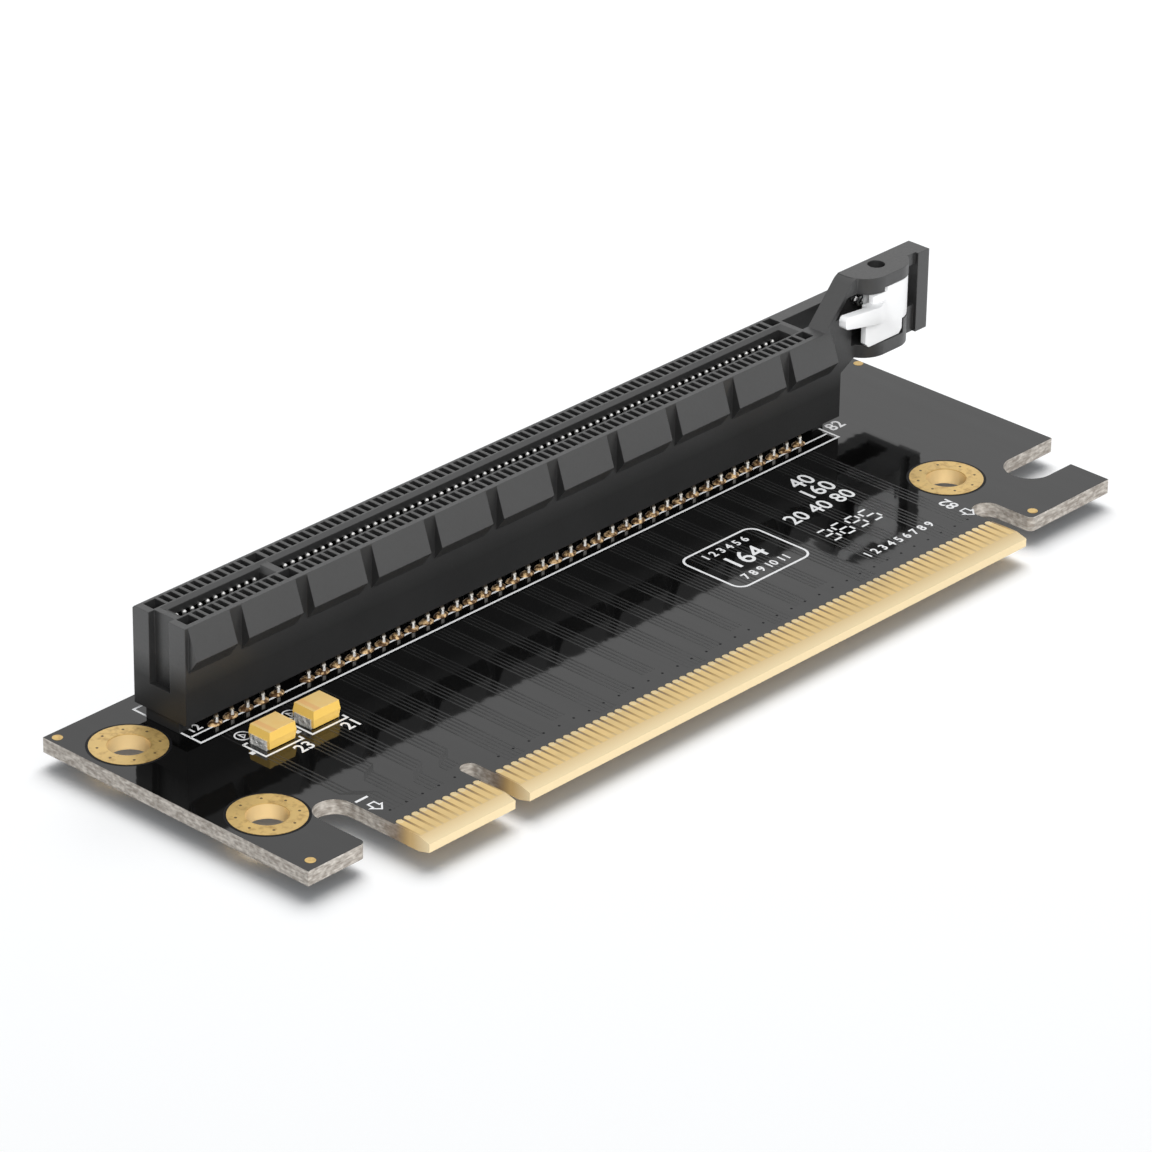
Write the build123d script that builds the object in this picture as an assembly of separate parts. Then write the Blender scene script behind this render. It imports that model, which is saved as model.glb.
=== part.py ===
from build123d import *
import os
from math import cos, pi, sin, sqrt

# Riser card with an upright card slot, laid flat with its slot side up.
# Working frame: x runs along the card tongue with the centre of contact 1 at 0, y runs from the
# tongue's front edge towards the slot, z is 0 on the board's upper face. Millimetres.
# Every solid is moved at the end, so that the origin is the middle of the underside of the part.

# Contacts of the tongue and of the slot
PITCH = 1.0
KEY_SKIP = 3.0
CONTACTS_BEFORE_KEY = 11
CONTACTS_AFTER_KEY = 71
LAST_BEFORE_KEY = (CONTACTS_BEFORE_KEY - 1) * PITCH
FIRST_AFTER_KEY = LAST_BEFORE_KEY + KEY_SKIP
LAST_CONTACT = FIRST_AFTER_KEY + (CONTACTS_AFTER_KEY - 1) * PITCH
KEY_X = LAST_BEFORE_KEY + KEY_SKIP / 2

# Board
BOARD_THICKNESS = 1.57
BOARD_DEPTH = 38.84
BOARD_LEFT_MARGIN = 12.0
BOARD_RIGHT_MARGIN = 19.3
TONGUE_END_MARGIN = 0.65
KEY_NOTCH_WIDTH = 1.9
KEY_NOTCH_DEPTH = 7.65
LEFT_TAB_FRONT = 3.95
LEFT_RELIEF_WIDTH = 4.1
LEFT_RELIEF_DEPTH = 12.05
RIGHT_RELIEF_WIDTH = 3.2
RIGHT_RELIEF_DEPTH = 7.9
HOOK_TAB_FRONT = 2.0
HOOK_TAB_LENGTH = 12.2
HOOK_TAB_HEIGHT = 4.85
HOOK_NOTCH_WIDTH = 5.15
HOOK_NOTCH_REACH = 6.12
TAB_CORNER_RADIUS = 0.6
BEVEL_RUN = 1.3
BEVEL_DROP = 0.35
BEVEL_OVERCUT = 0.01
BOARD_BOTTOM = -BOARD_THICKNESS
BOARD_LEFT = -BOARD_LEFT_MARGIN
BOARD_RIGHT = LAST_CONTACT + BOARD_RIGHT_MARGIN
TONGUE_LEFT = -TONGUE_END_MARGIN
TONGUE_RIGHT = LAST_CONTACT + TONGUE_END_MARGIN
LEFT_TAB_RIGHT = TONGUE_LEFT - LEFT_RELIEF_WIDTH
HOOK_TAB_LEFT = TONGUE_RIGHT + RIGHT_RELIEF_WIDTH
HOOK_TAB_RIGHT = HOOK_TAB_LEFT + HOOK_TAB_LENGTH
HOOK_TAB_REAR = HOOK_TAB_FRONT + HOOK_TAB_HEIGHT

# Gold on the board
FINGER_WIDTH = 0.7
FINGER_TOP = 4.55
GOLD_THICKNESS = 0.04
MOUNT_HOLE_RADIUS = 2.05
MOUNT_RING_RADIUS = 3.75
MOUNT_LEFT_MARGIN = 4.55
MOUNT_RIGHT_MARGIN = 14.55
MOUNT_FRONT_Y = 13.8
MOUNT_REAR_MARGIN = 6.69
MOUNT_LEFT_X = BOARD_LEFT + MOUNT_LEFT_MARGIN
MOUNT_RIGHT_X = BOARD_RIGHT - MOUNT_RIGHT_MARGIN
MOUNT_REAR_Y = BOARD_DEPTH - MOUNT_REAR_MARGIN

# Slot housing
SLOT_REAR_MARGIN = 6.29
HOUSING_WIDTH = 7.0
HOUSING_LEFT_MARGIN = 3.0
HOUSING_RIGHT_MARGIN = 5.8
HOUSING_STANDOFF = 1.3
HOUSING_TOP = 11.5
HOUSING_EDGE_BREAK = 0.25
SLOT_CENTRE_Y = BOARD_DEPTH - SLOT_REAR_MARGIN
HOUSING_LEFT = -HOUSING_LEFT_MARGIN
HOUSING_RIGHT = LAST_CONTACT + HOUSING_RIGHT_MARGIN
HOUSING_FRONT = SLOT_CENTRE_Y - HOUSING_WIDTH / 2
HOUSING_REAR = SLOT_CENTRE_Y + HOUSING_WIDTH / 2

# Slot, its key web and the comb of contact cavities
SLOT_WIDTH = 1.8
SLOT_END_MARGIN = 1.0
SLOT_FLOOR = 3.3
LEAD_IN_WIDTH = 0.4
LEAD_IN_DEPTH = 0.3
END_LEAD_IN = 0.7
KEY_WEB_WIDTH = 1.6
KEY_WEB_DROP = 0.15
KEY_WEB_TAPER = 0.35
KEY_WEB_TAPER_DEPTH = 0.6
CAVITY_WIDTH = 0.65
CAVITY_NEAR = 1.5
CAVITY_FAR = 2.95
LIP_DEPTH = 1.1
CORE_DEPTH = 3.0
LEFT_CORE_OFFSET = 0.66
LEFT_CORE_WIDTH = 1.54
RIGHT_CORE_OFFSET = 0.75
RIGHT_CORE_WIDTH = 1.25
KEY_CORE_WIDTH = 1.46
SLOT_LEFT = -SLOT_END_MARGIN
SLOT_RIGHT = LAST_CONTACT + SLOT_END_MARGIN

# Wedge ribs on the front wall
RIB_PITCH = 8.5
RIB_GAP = 1.5
FIRST_GAP_LEFT = 2.65
FIRST_RIB_SETBACK = 0.4
LAST_RIB_SETBACK = 1.7
RIB_NOSE_DROP = 3.2
RIB_FOOT_DROP = 4.75
RIB_REACH = 1.1

# Recess in the left end of the housing
END_RECESS_WIDTH = 2.7
END_RECESS_FLOOR = 4.05
END_RECESS_DEPTH = 0.75

# Posts and feet under the housing
POST_RADIUS = 1.15
POST_CLEARANCE = 0.05
POST_BELOW_BOARD = 1.3
RIGHT_POST_MARGIN = 1.8
FOOT_LENGTH = 1.6
FOOT_WIDTH = 4.4
KEY_FOOT_WIDTH = 3.0
POST_END = BOARD_BOTTOM - POST_BELOW_BOARD

# Pocket for the hook of the plugged card, and the wall round it
POCKET_OVERLAP = 3.45
POCKET_REACH = 11.0
POCKET_FRONT_MARGIN = 1.15
POCKET_REAR_MARGIN = 1.7
POCKET_FLOOR = 4.4
END_WALL = 1.6
POCKET_LEFT = HOUSING_RIGHT - POCKET_OVERLAP
POCKET_RIGHT = HOUSING_RIGHT + POCKET_REACH
POCKET_FRONT = SLOT_CENTRE_Y - POCKET_FRONT_MARGIN
POCKET_REAR = SLOT_CENTRE_Y + POCKET_REAR_MARGIN

# Latch frame
FRAME_LENGTH = 13.15
FRAME_SINK = 4.25
FRAME_RISE = 4.6
FRAME_CORNER = 0.4
FRAME_ROOT_LENGTH = 4.0
FRAME_ROOT_DROP = 3.0
RAMP_SETBACK = 2.6
RAMP_RUN = 4.1
RAMP_ROUND = 1.4
GUSSET_DROP = 1.05
GUSSET_RUN = 1.9
END_PLATE_LENGTH = 2.0
END_PLATE_REACH = 0.4
FRAME_RIGHT = HOUSING_RIGHT + FRAME_LENGTH
FRAME_BOTTOM = HOUSING_TOP - FRAME_SINK
FRAME_TOP = HOUSING_TOP + FRAME_RISE
FRAME_ROOT_X = HOUSING_RIGHT - FRAME_ROOT_LENGTH
FRAME_ROOT_Z = HOUSING_TOP - FRAME_ROOT_DROP
RAMP_FOOT_X = HOUSING_RIGHT - RAMP_SETBACK
RAMP_HEAD_X = RAMP_FOOT_X + RAMP_RUN
END_PLATE_LEFT = FRAME_RIGHT - END_PLATE_LENGTH

# Bulge of the latch frame round the lever
BOW_MARGIN = 1.7
BOW_LENGTH = 8.5
BOW_REACH = 1.6
BOW_ROUND = 3.0
DECK_THICKNESS = 1.75
DECK_HOLLOW_DEPTH = 0.45
SHELF_THICKNESS = 1.45
BOW_LEFT = HOUSING_RIGHT + BOW_MARGIN
BOW_RIGHT = BOW_LEFT + BOW_LENGTH
BOW_FRONT = HOUSING_FRONT - BOW_REACH
DECK_UNDERSIDE = FRAME_TOP - DECK_THICKNESS
DECK_HOLLOW = DECK_UNDERSIDE + DECK_HOLLOW_DEPTH
SHELF_TOP = FRAME_BOTTOM + SHELF_THICKNESS

# Nest of the lever in the latch frame
NEST_WALL = 0.65
NEST_MARGIN = 1.5
SILL_LENGTH = 2.15
SILL_SETBACK = 0.3
SILL_HEIGHT = 1.55
STRUT_THICKNESS = 0.55
NEST_WAIST = 0.9
DOORWAY_MARGIN = 0.7
NEST_LEFT = HOUSING_RIGHT + NEST_MARGIN
NEST_BACK = POCKET_FRONT - NEST_WALL
NEST_SILL = SHELF_TOP + SILL_HEIGHT
SILL_RIGHT = BOW_RIGHT - SILL_SETBACK
SILL_LEFT = SILL_RIGHT - SILL_LENGTH

# Pivot and hub of the latch lever
PIVOT_REACH = 6.1
PIVOT_FRONT_MARGIN = 2.55
PIN_RADIUS = 0.6
PIN_CLEARANCE = 0.06
PIN_GRIP = 0.6
PIN_BORE_RADIUS = 0.92
PIN_SINK = 0.9
PIN_TIP = 0.12
HUB_RADIUS = 1.1
HUB_GAP = 0.15
PIVOT_X = HOUSING_RIGHT + PIVOT_REACH
PIVOT_Y = SLOT_CENTRE_Y - PIVOT_FRONT_MARGIN

# Front plate of the lever
LEVER_GAP = 0.1
LEVER_SETBACK = 0.05
LEVER_LEFT_REACH = 4.2
LEVER_RIGHT_REACH = 3.45
LEVER_BACK_REACH = 0.7
LEVER_WALL = 0.65
LEVER_BODY_REACH = 2.7
LEVER_FOOT_ROUND = 0.5
LEVER_SHOULDER = 0.7
SILL_GAP = 0.15
STEP_REACH = 1.0
STEP_GAP = 0.5
LEVER_LEFT = PIVOT_X - LEVER_LEFT_REACH
LEVER_RIGHT = PIVOT_X + LEVER_RIGHT_REACH
LEVER_FRONT = BOW_FRONT + LEVER_SETBACK
LEVER_WALL_BACK = LEVER_FRONT + LEVER_WALL
LEVER_BACK = PIVOT_Y - LEVER_BACK_REACH
LEVER_BODY_LEFT = PIVOT_X - LEVER_BODY_REACH
LEVER_FOOT_X = SILL_LEFT - SILL_GAP
LEVER_FOOT_TOP = NEST_SILL + LEVER_GAP
LEVER_LOW = SHELF_TOP + LEVER_GAP
LEVER_HIGH = DECK_UNDERSIDE - LEVER_GAP
LEVER_CREST = DECK_HOLLOW - LEVER_GAP
LEVER_STEP_X = PIVOT_X - STEP_REACH
DECK_STEP_X = LEVER_STEP_X - STEP_GAP

# Finger tab of the lever
TAB_LENGTH = 4.35
TAB_REACH = 0.95
TAB_THICKNESS = 0.95
TAB_TIP_DROP = 0.3
TAB_TIP_HEIGHT = 1.3
TAB_ROOT_DROP = 1.0
TAB_ROOT_HEIGHT = 2.1
TAB_TIP_ROUND = 0.45
TAB_BEND = 1.0
TAB_FADE = 3.0
SPRING_WINDOW = 1.0
TAB_LEFT = LEVER_LEFT - TAB_LENGTH
TAB_FRONT = BOW_FRONT - TAB_REACH
TAB_BACK = TAB_FRONT + TAB_THICKNESS
TAB_RIGHT = LEVER_LEFT + TAB_FADE
TAB_TIP_TOP = LEVER_HIGH - TAB_TIP_DROP
TAB_ROOT_TOP = LEVER_HIGH - TAB_ROOT_DROP

# Locking nose of the lever
NOSE_LEFT_REACH = 1.5
NOSE_REACH = 0.65
NOSE_HEIGHT = 2.6
NOSE_SLOPE = 1.2
NOSE_SLOPE_RUN = 0.7
NOSE_ROOT_REACH = 1.2
NOSE_LEFT = PIVOT_X + NOSE_LEFT_REACH
NOSE_BOTTOM = NEST_SILL + SILL_GAP
NOSE_ROOT_Y = PIVOT_Y - NOSE_ROOT_REACH
NOSE_TIP_Y = POCKET_FRONT + NOSE_REACH
NOSE_TOP = NOSE_BOTTOM + NOSE_HEIGHT

# Lever spring
SPRING_OFFSET = 2.6
SPRING_DROP = 1.2
SPRING_RADIUS = 0.55
SPRING_WIRE = 0.18
SPRING_TURNS = 3
SPRING_SIDES = 8
SPRING_END_GAP = 0.03
SPRING_X = PIVOT_X - SPRING_OFFSET
SPRING_Z = LEVER_HIGH - SPRING_DROP

# Contact strips
STRIP_WIDTH = 0.44
STRIP_THICKNESS = 0.2
TIP_REACH = 0.95
TIP_DROP = 0.1
BULGE_REACH = 0.5
BULGE_DROP = 3.5
OUTER_TAIL_REACH = 3.25
INNER_TAIL_REACH = 1.25
TAIL_KNEE_HEIGHT = 0.75
TAIL_BELOW_BOARD = 1.25
TAIL_END = BOARD_BOTTOM - TAIL_BELOW_BOARD

# Capacitors
CAPACITOR_LENGTH = 3.5
CAPACITOR_WIDTH = 2.8
CAPACITOR_HEIGHT = 1.9
CAPACITOR_TO_SLOT = 9.2
CAPACITOR_Y = SLOT_CENTRE_Y - CAPACITOR_TO_SLOT
CAPACITOR_CENTRES = {"left": 2.5, "right": 8.2}
CAPACITOR_STANDOFF = 0.08
CAPACITOR_DRAFT = 0.12
TERMINAL_THICKNESS = 0.12
TERMINAL_WIDTH = 2.2
TERMINAL_WRAP = 0.8
TERMINAL_RISE = 1.0

# Helpers of the cuts
SAME_PLACE = 0.01
OVERRUN = 1.0
ROOT_OVERLAP = 0.5
ORIGIN = ((BOARD_LEFT + BOARD_RIGHT) / 2, BOARD_DEPTH / 2, POST_END)


def block(x0, x1, y0, y1, z0, z1):
    """Box between two corners, for cuts and plain moulded bodies."""
    middle = ((x0 + x1) / 2, (y0 + y1) / 2, (z0 + z1) / 2)
    return Pos(*middle) * Box(x1 - x0, y1 - y0, z1 - z0)


def upright(x, y, radius, z0, z1):
    """Round bar along z."""
    return Pos(x, y, (z0 + z1) / 2) * Cylinder(radius, z1 - z0)


def through_board(x, y, radius):
    """Cutter for a round hole through the board."""
    return upright(x, y, radius, BOARD_BOTTOM - OVERRUN, OVERRUN)


def side_prism(points, x0, x1):
    """Outline given as (y, z) points, drawn out along x."""
    face = Plane.YZ * Polygon(*points, align=None)
    return Pos(x0, 0, 0) * extrude(face, x1 - x0, dir=(1, 0, 0))


def front_prism(points, y0, y1):
    """Outline given as (x, z) points, drawn out along y."""
    face = Plane.XZ * Polygon(*points, align=None)
    return Pos(0, y0, 0) * extrude(face, y1 - y0, dir=(0, 1, 0))


def band(sign, near, far):
    """Two y values at the given distances from the slot's centre line, in rising order."""
    return sorted((SLOT_CENTRE_Y + sign * near, SLOT_CENTRE_Y + sign * far))


def first_bank():
    """Contact centres on the short side of the key."""
    return [i * PITCH for i in range(CONTACTS_BEFORE_KEY)]


def second_bank():
    """Contact centres on the long side of the key."""
    return [FIRST_AFTER_KEY + i * PITCH for i in range(CONTACTS_AFTER_KEY)]


def contact_places():
    return first_bank() + second_bank()


def staggered(bank):
    """Split a bank in inner and outer tails; the tails beside the key are inner, then outer."""
    if bank[0] < KEY_X:
        return {"inner": bank[0::2], "outer": bank[1::2]}
    return {"inner": bank[1::2], "outer": bank[0::2]}


def edge_slot(x0, x1, depth):
    """Cut with a round inner end, open to the front edge of the board."""
    radius = (x1 - x0) / 2
    end_y = depth - radius
    cut = block(x0, x1, -OVERRUN, end_y, BOARD_BOTTOM - OVERRUN, OVERRUN)
    return cut + through_board((x0 + x1) / 2, end_y, radius)


def hook_notch():
    """Cut behind the hook tab, with a round end and open to the right."""
    radius = HOOK_NOTCH_WIDTH / 2
    x = HOOK_TAB_RIGHT - HOOK_NOTCH_REACH + radius
    y0, y1 = HOOK_TAB_REAR, HOOK_TAB_REAR + HOOK_NOTCH_WIDTH
    cut = block(x, BOARD_RIGHT + OVERRUN, y0, y1, BOARD_BOTTOM - OVERRUN, OVERRUN)
    return cut + through_board(x, y0 + radius, radius)


def mount_places():
    return [
        (MOUNT_LEFT_X, MOUNT_REAR_Y),
        (MOUNT_LEFT_X, MOUNT_FRONT_Y),
        (MOUNT_RIGHT_X, MOUNT_FRONT_Y),
    ]


def tongue_bevels():
    """Wedges cut from both faces along the tongue's front edge."""
    outside = [(-OVERRUN, BEVEL_OVERCUT), (BEVEL_RUN, BEVEL_OVERCUT)]
    upper = outside + [(BEVEL_RUN, 0), (0, -BEVEL_DROP), (-OVERRUN, -BEVEL_DROP)]
    lower = [(y, BOARD_BOTTOM - z) for y, z in upper]
    spans = (TONGUE_LEFT - ROOT_OVERLAP, TONGUE_RIGHT + ROOT_OVERLAP)
    return side_prism(upper, *spans) + side_prism(lower, *spans)


def circuit_board():
    low, high = BOARD_BOTTOM - OVERRUN, OVERRUN
    key_half = KEY_NOTCH_WIDTH / 2
    board = block(BOARD_LEFT, BOARD_RIGHT, 0, BOARD_DEPTH, BOARD_BOTTOM, 0)
    board -= block(BOARD_LEFT - OVERRUN, LEFT_TAB_RIGHT, -OVERRUN, LEFT_TAB_FRONT, low, high)
    board -= block(HOOK_TAB_LEFT, BOARD_RIGHT + OVERRUN, -OVERRUN, HOOK_TAB_FRONT, low, high)
    board -= block(HOOK_TAB_RIGHT, BOARD_RIGHT + OVERRUN, -OVERRUN, HOOK_TAB_REAR, low, high)
    board -= edge_slot(LEFT_TAB_RIGHT, TONGUE_LEFT, LEFT_RELIEF_DEPTH)
    board -= edge_slot(TONGUE_RIGHT, HOOK_TAB_LEFT, RIGHT_RELIEF_DEPTH)
    board -= edge_slot(KEY_X - key_half, KEY_X + key_half, KEY_NOTCH_DEPTH)
    board -= hook_notch()
    corners = [(LEFT_TAB_RIGHT, LEFT_TAB_FRONT), (HOOK_TAB_LEFT, HOOK_TAB_FRONT)]
    board = fillet(uprights_at(board, corners), TAB_CORNER_RADIUS)
    board -= tongue_bevels()
    for x, y in mount_places():
        board -= through_board(x, y, MOUNT_HOLE_RADIUS + GOLD_THICKNESS)
    for x in post_places():
        board -= through_board(x, SLOT_CENTRE_Y, POST_RADIUS + POST_CLEARANCE)
    return board


def uprights_at(shape, corners):
    """Vertical edges that stand at the given (x, y) corners."""
    found = []
    for edge in shape.edges().filter_by(Axis.Z):
        place = edge.center()
        if any(abs(place.X - x) < SAME_PLACE and abs(place.Y - y) < SAME_PLACE for x, y in corners):
            found.append(edge)
    return found


def edge_fingers(face, outward):
    """Contact pads on one face of the tongue, which rise from the bevel towards the solder mask."""
    half = FINGER_WIDTH / 2
    section = [(BEVEL_RUN, face), (FINGER_TOP, face), (FINGER_TOP, face + outward * GOLD_THICKNESS)]
    return [side_prism(section, x - half, x + half) for x in contact_places()]


def plated_hole(x, y):
    """Barrel in a mounting hole with a ring on each face of the board."""
    top, low = GOLD_THICKNESS, BOARD_BOTTOM - GOLD_THICKNESS
    barrel = upright(x, y, MOUNT_HOLE_RADIUS + GOLD_THICKNESS, low, top)
    rings = upright(x, y, MOUNT_RING_RADIUS, 0, top) + upright(x, y, MOUNT_RING_RADIUS, low, BOARD_BOTTOM)
    return barrel + rings - through_board(x, y, MOUNT_HOLE_RADIUS)


def rib_spans():
    """Left and right ends of the wedge ribs; the gaps repeat, the end ribs stop short of the ends."""
    last_right = HOUSING_RIGHT - LAST_RIB_SETBACK
    gaps = int((last_right - FIRST_GAP_LEFT) / RIB_PITCH) + 1
    gap_lefts = [FIRST_GAP_LEFT + i * RIB_PITCH for i in range(gaps)]
    lefts = [HOUSING_LEFT + FIRST_RIB_SETBACK] + [x + RIB_GAP for x in gap_lefts]
    return list(zip(lefts, gap_lefts + [last_right]))


def wedge_ribs():
    """Ribs that lean out from the top of the front wall and turn back under their nose."""
    inside = HOUSING_FRONT + ROOT_OVERLAP
    section = [
        (inside, HOUSING_TOP),
        (HOUSING_FRONT, HOUSING_TOP),
        (HOUSING_FRONT - RIB_REACH, HOUSING_TOP - RIB_NOSE_DROP),
        (HOUSING_FRONT, HOUSING_TOP - RIB_FOOT_DROP),
        (inside, HOUSING_TOP - RIB_FOOT_DROP),
    ]
    return [side_prism(section, x0, x1) for x0, x1 in rib_spans()]


def contact_cavities():
    """Shafts of the comb, and the wide part of the slot under the lip that joins them."""
    half = CAVITY_WIDTH / 2
    lip_bottom = HOUSING_TOP - LIP_DEPTH
    cuts = []
    for bank in (first_bank(), second_bank()):
        hall = band(1, -CAVITY_NEAR, CAVITY_NEAR)
        cuts.append(block(bank[0] - half, bank[-1] + half, *hall, SLOT_FLOOR, lip_bottom))
        for sign in (-1, 1):
            shaft = band(sign, CAVITY_NEAR, CAVITY_FAR)
            for x in bank:
                cuts.append(block(x - half, x + half, *shaft, SLOT_FLOOR, HOUSING_TOP + OVERRUN))
    return cuts


def core_outs():
    """Blind pockets at both ends of the comb and beside the key, which save plastic."""
    left = -LEFT_CORE_OFFSET
    right = LAST_CONTACT + RIGHT_CORE_OFFSET
    spans = [
        (left - LEFT_CORE_WIDTH, left),
        (KEY_X - KEY_CORE_WIDTH / 2, KEY_X + KEY_CORE_WIDTH / 2),
        (right, right + RIGHT_CORE_WIDTH),
    ]
    cuts = []
    for sign in (-1, 1):
        y0, y1 = band(sign, CAVITY_NEAR, CAVITY_FAR)
        for x0, x1 in spans:
            cuts.append(block(x0, x1, y0, y1, HOUSING_TOP - CORE_DEPTH, HOUSING_TOP + OVERRUN))
    return cuts


def card_slot():
    """Slot for the plugged card with its funnel-shaped mouth."""
    y0, y1 = band(1, -SLOT_WIDTH / 2, SLOT_WIDTH / 2)
    well = block(SLOT_LEFT, SLOT_RIGHT, y0, y1, SLOT_FLOOR, HOUSING_TOP + OVERRUN)
    middle_x = (SLOT_LEFT + SLOT_RIGHT) / 2
    length = SLOT_RIGHT - SLOT_LEFT
    throat = Pos(middle_x, SLOT_CENTRE_Y, HOUSING_TOP - LEAD_IN_DEPTH) * Rectangle(length, SLOT_WIDTH)
    mouth = Rectangle(length + 2 * END_LEAD_IN, SLOT_WIDTH + 2 * LEAD_IN_WIDTH)
    return well + loft([throat, Pos(middle_x, SLOT_CENTRE_Y, HOUSING_TOP) * mouth])


def key_web():
    """Upright web in the slot with a blunted top, which the key notch of the card straddles."""
    half = KEY_WEB_WIDTH / 2
    top = HOUSING_TOP - KEY_WEB_DROP
    shoulder = top - KEY_WEB_TAPER_DEPTH
    outline = [
        (KEY_X - half, SLOT_FLOOR - ROOT_OVERLAP),
        (KEY_X - half, shoulder),
        (KEY_X - half + KEY_WEB_TAPER, top),
        (KEY_X + half - KEY_WEB_TAPER, top),
        (KEY_X + half, shoulder),
        (KEY_X + half, SLOT_FLOOR - ROOT_OVERLAP),
    ]
    reach = SLOT_WIDTH / 2 + LEAD_IN_WIDTH
    return front_prism(outline, *band(1, -reach, reach))


def post_places():
    return (KEY_X, HOUSING_RIGHT - RIGHT_POST_MARGIN)


def foot(x, width):
    """Pad that keeps the housing off the board."""
    y0, y1 = band(1, -width / 2, width / 2)
    return block(x - FOOT_LENGTH / 2, x + FOOT_LENGTH / 2, y0, y1, 0, HOUSING_STANDOFF + ROOT_OVERLAP)


def posts_and_feet():
    """Locating posts through the board, and a foot at the key and at both ends."""
    pieces = []
    for x in post_places():
        pieces.append(upright(x, SLOT_CENTRE_Y, POST_RADIUS, POST_END, HOUSING_STANDOFF + ROOT_OVERLAP))
    left_end = HOUSING_LEFT + FOOT_LENGTH / 2 + HOUSING_EDGE_BREAK
    right_end = HOUSING_RIGHT - RIGHT_POST_MARGIN
    return pieces + [foot(left_end, FOOT_WIDTH), foot(KEY_X, KEY_FOOT_WIDTH), foot(right_end, FOOT_WIDTH)]


def slot_body():
    """Long body, and the wall of the hook pocket behind the latch."""
    body = block(HOUSING_LEFT, HOUSING_RIGHT, HOUSING_FRONT, HOUSING_REAR, HOUSING_STANDOFF, HOUSING_TOP)
    wall_right = POCKET_RIGHT + END_WALL
    body += block(HOUSING_RIGHT, wall_right, POCKET_REAR, HOUSING_REAR, FRAME_BOTTOM, HOUSING_TOP)
    body += block(POCKET_RIGHT, wall_right, HOUSING_FRONT, HOUSING_REAR, FRAME_BOTTOM, HOUSING_TOP)
    rear_edge = [e for e in body.edges().filter_by(Axis.X) if on_top_rear(e)]
    return chamfer(rear_edge, HOUSING_EDGE_BREAK)


def on_top_rear(edge):
    place = edge.center()
    return abs(place.Z - HOUSING_TOP) < SAME_PLACE and abs(place.Y - HOUSING_REAR) < SAME_PLACE


def end_recess():
    """Shallow upright channel in the left end, under the mouth of the slot."""
    y0, y1 = band(1, -END_RECESS_WIDTH / 2, END_RECESS_WIDTH / 2)
    x0, x1 = HOUSING_LEFT - OVERRUN, HOUSING_LEFT + END_RECESS_DEPTH
    return block(x0, x1, y0, y1, END_RECESS_FLOOR, HOUSING_TOP + OVERRUN)


def frame_plate():
    """Front wall of the hook pocket, which ramps up from the slot body to carry the latch."""
    gusset_foot = FRAME_BOTTOM - GUSSET_DROP
    outline = [
        (FRAME_ROOT_X, FRAME_ROOT_Z),
        (RAMP_FOOT_X, HOUSING_TOP),
        (RAMP_HEAD_X, FRAME_TOP),
        (END_PLATE_LEFT, FRAME_TOP),
        (END_PLATE_LEFT, FRAME_BOTTOM),
        (HOUSING_RIGHT + GUSSET_RUN, FRAME_BOTTOM),
        (HOUSING_RIGHT, gusset_foot),
        (FRAME_ROOT_X, gusset_foot),
    ]
    plate = front_prism(outline, HOUSING_FRONT, POCKET_FRONT)
    return fillet(across_edges(plate, RAMP_HEAD_X, FRAME_TOP), RAMP_ROUND)


def end_plate():
    """Thicker plate that closes the right end of the latch frame."""
    front = HOUSING_FRONT - END_PLATE_REACH
    plate = block(END_PLATE_LEFT, FRAME_RIGHT, front, POCKET_FRONT, FRAME_BOTTOM, FRAME_TOP)
    corners = across_edges(plate, FRAME_RIGHT, FRAME_TOP) + across_edges(plate, FRAME_RIGHT, FRAME_BOTTOM)
    upright_edges = plate.edges().filter_by(Axis.Z)
    front_corner = upright_edges.sort_by(lambda edge: edge.center().X - edge.center().Y)[-1]
    return fillet(corners + [front_corner], FRAME_CORNER)


def across_edges(shape, x, z):
    """Edges along y at the given place in the front view."""
    found = []
    for edge in shape.edges().filter_by(Axis.Y):
        place = edge.center()
        if abs(place.X - x) < SAME_PLACE and abs(place.Z - z) < SAME_PLACE:
            found.append(edge)
    return found


def bow_block(inset, z0, z1):
    """Block with round front corners, the bulge of the latch frame."""
    bow = block(BOW_LEFT + inset, BOW_RIGHT - inset, BOW_FRONT + inset, POCKET_FRONT, z0, z1)
    front_corners = bow.edges().filter_by(Axis.Z).sort_by(Axis.Y)[:2]
    return fillet(front_corners, BOW_ROUND - inset)


def bow_decks():
    """Top deck, lower shelf and sill, which bulge forward round the lever."""
    decks = bow_block(0, DECK_UNDERSIDE, FRAME_TOP) + bow_block(0, FRAME_BOTTOM, SHELF_TOP)
    front = BOW_FRONT - OVERRUN
    sill = bow_block(0, FRAME_BOTTOM, NEST_SILL)
    sill &= block(SILL_LEFT, SILL_RIGHT, front, POCKET_FRONT, FRAME_BOTTOM, NEST_SILL)
    return decks + sill


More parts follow.
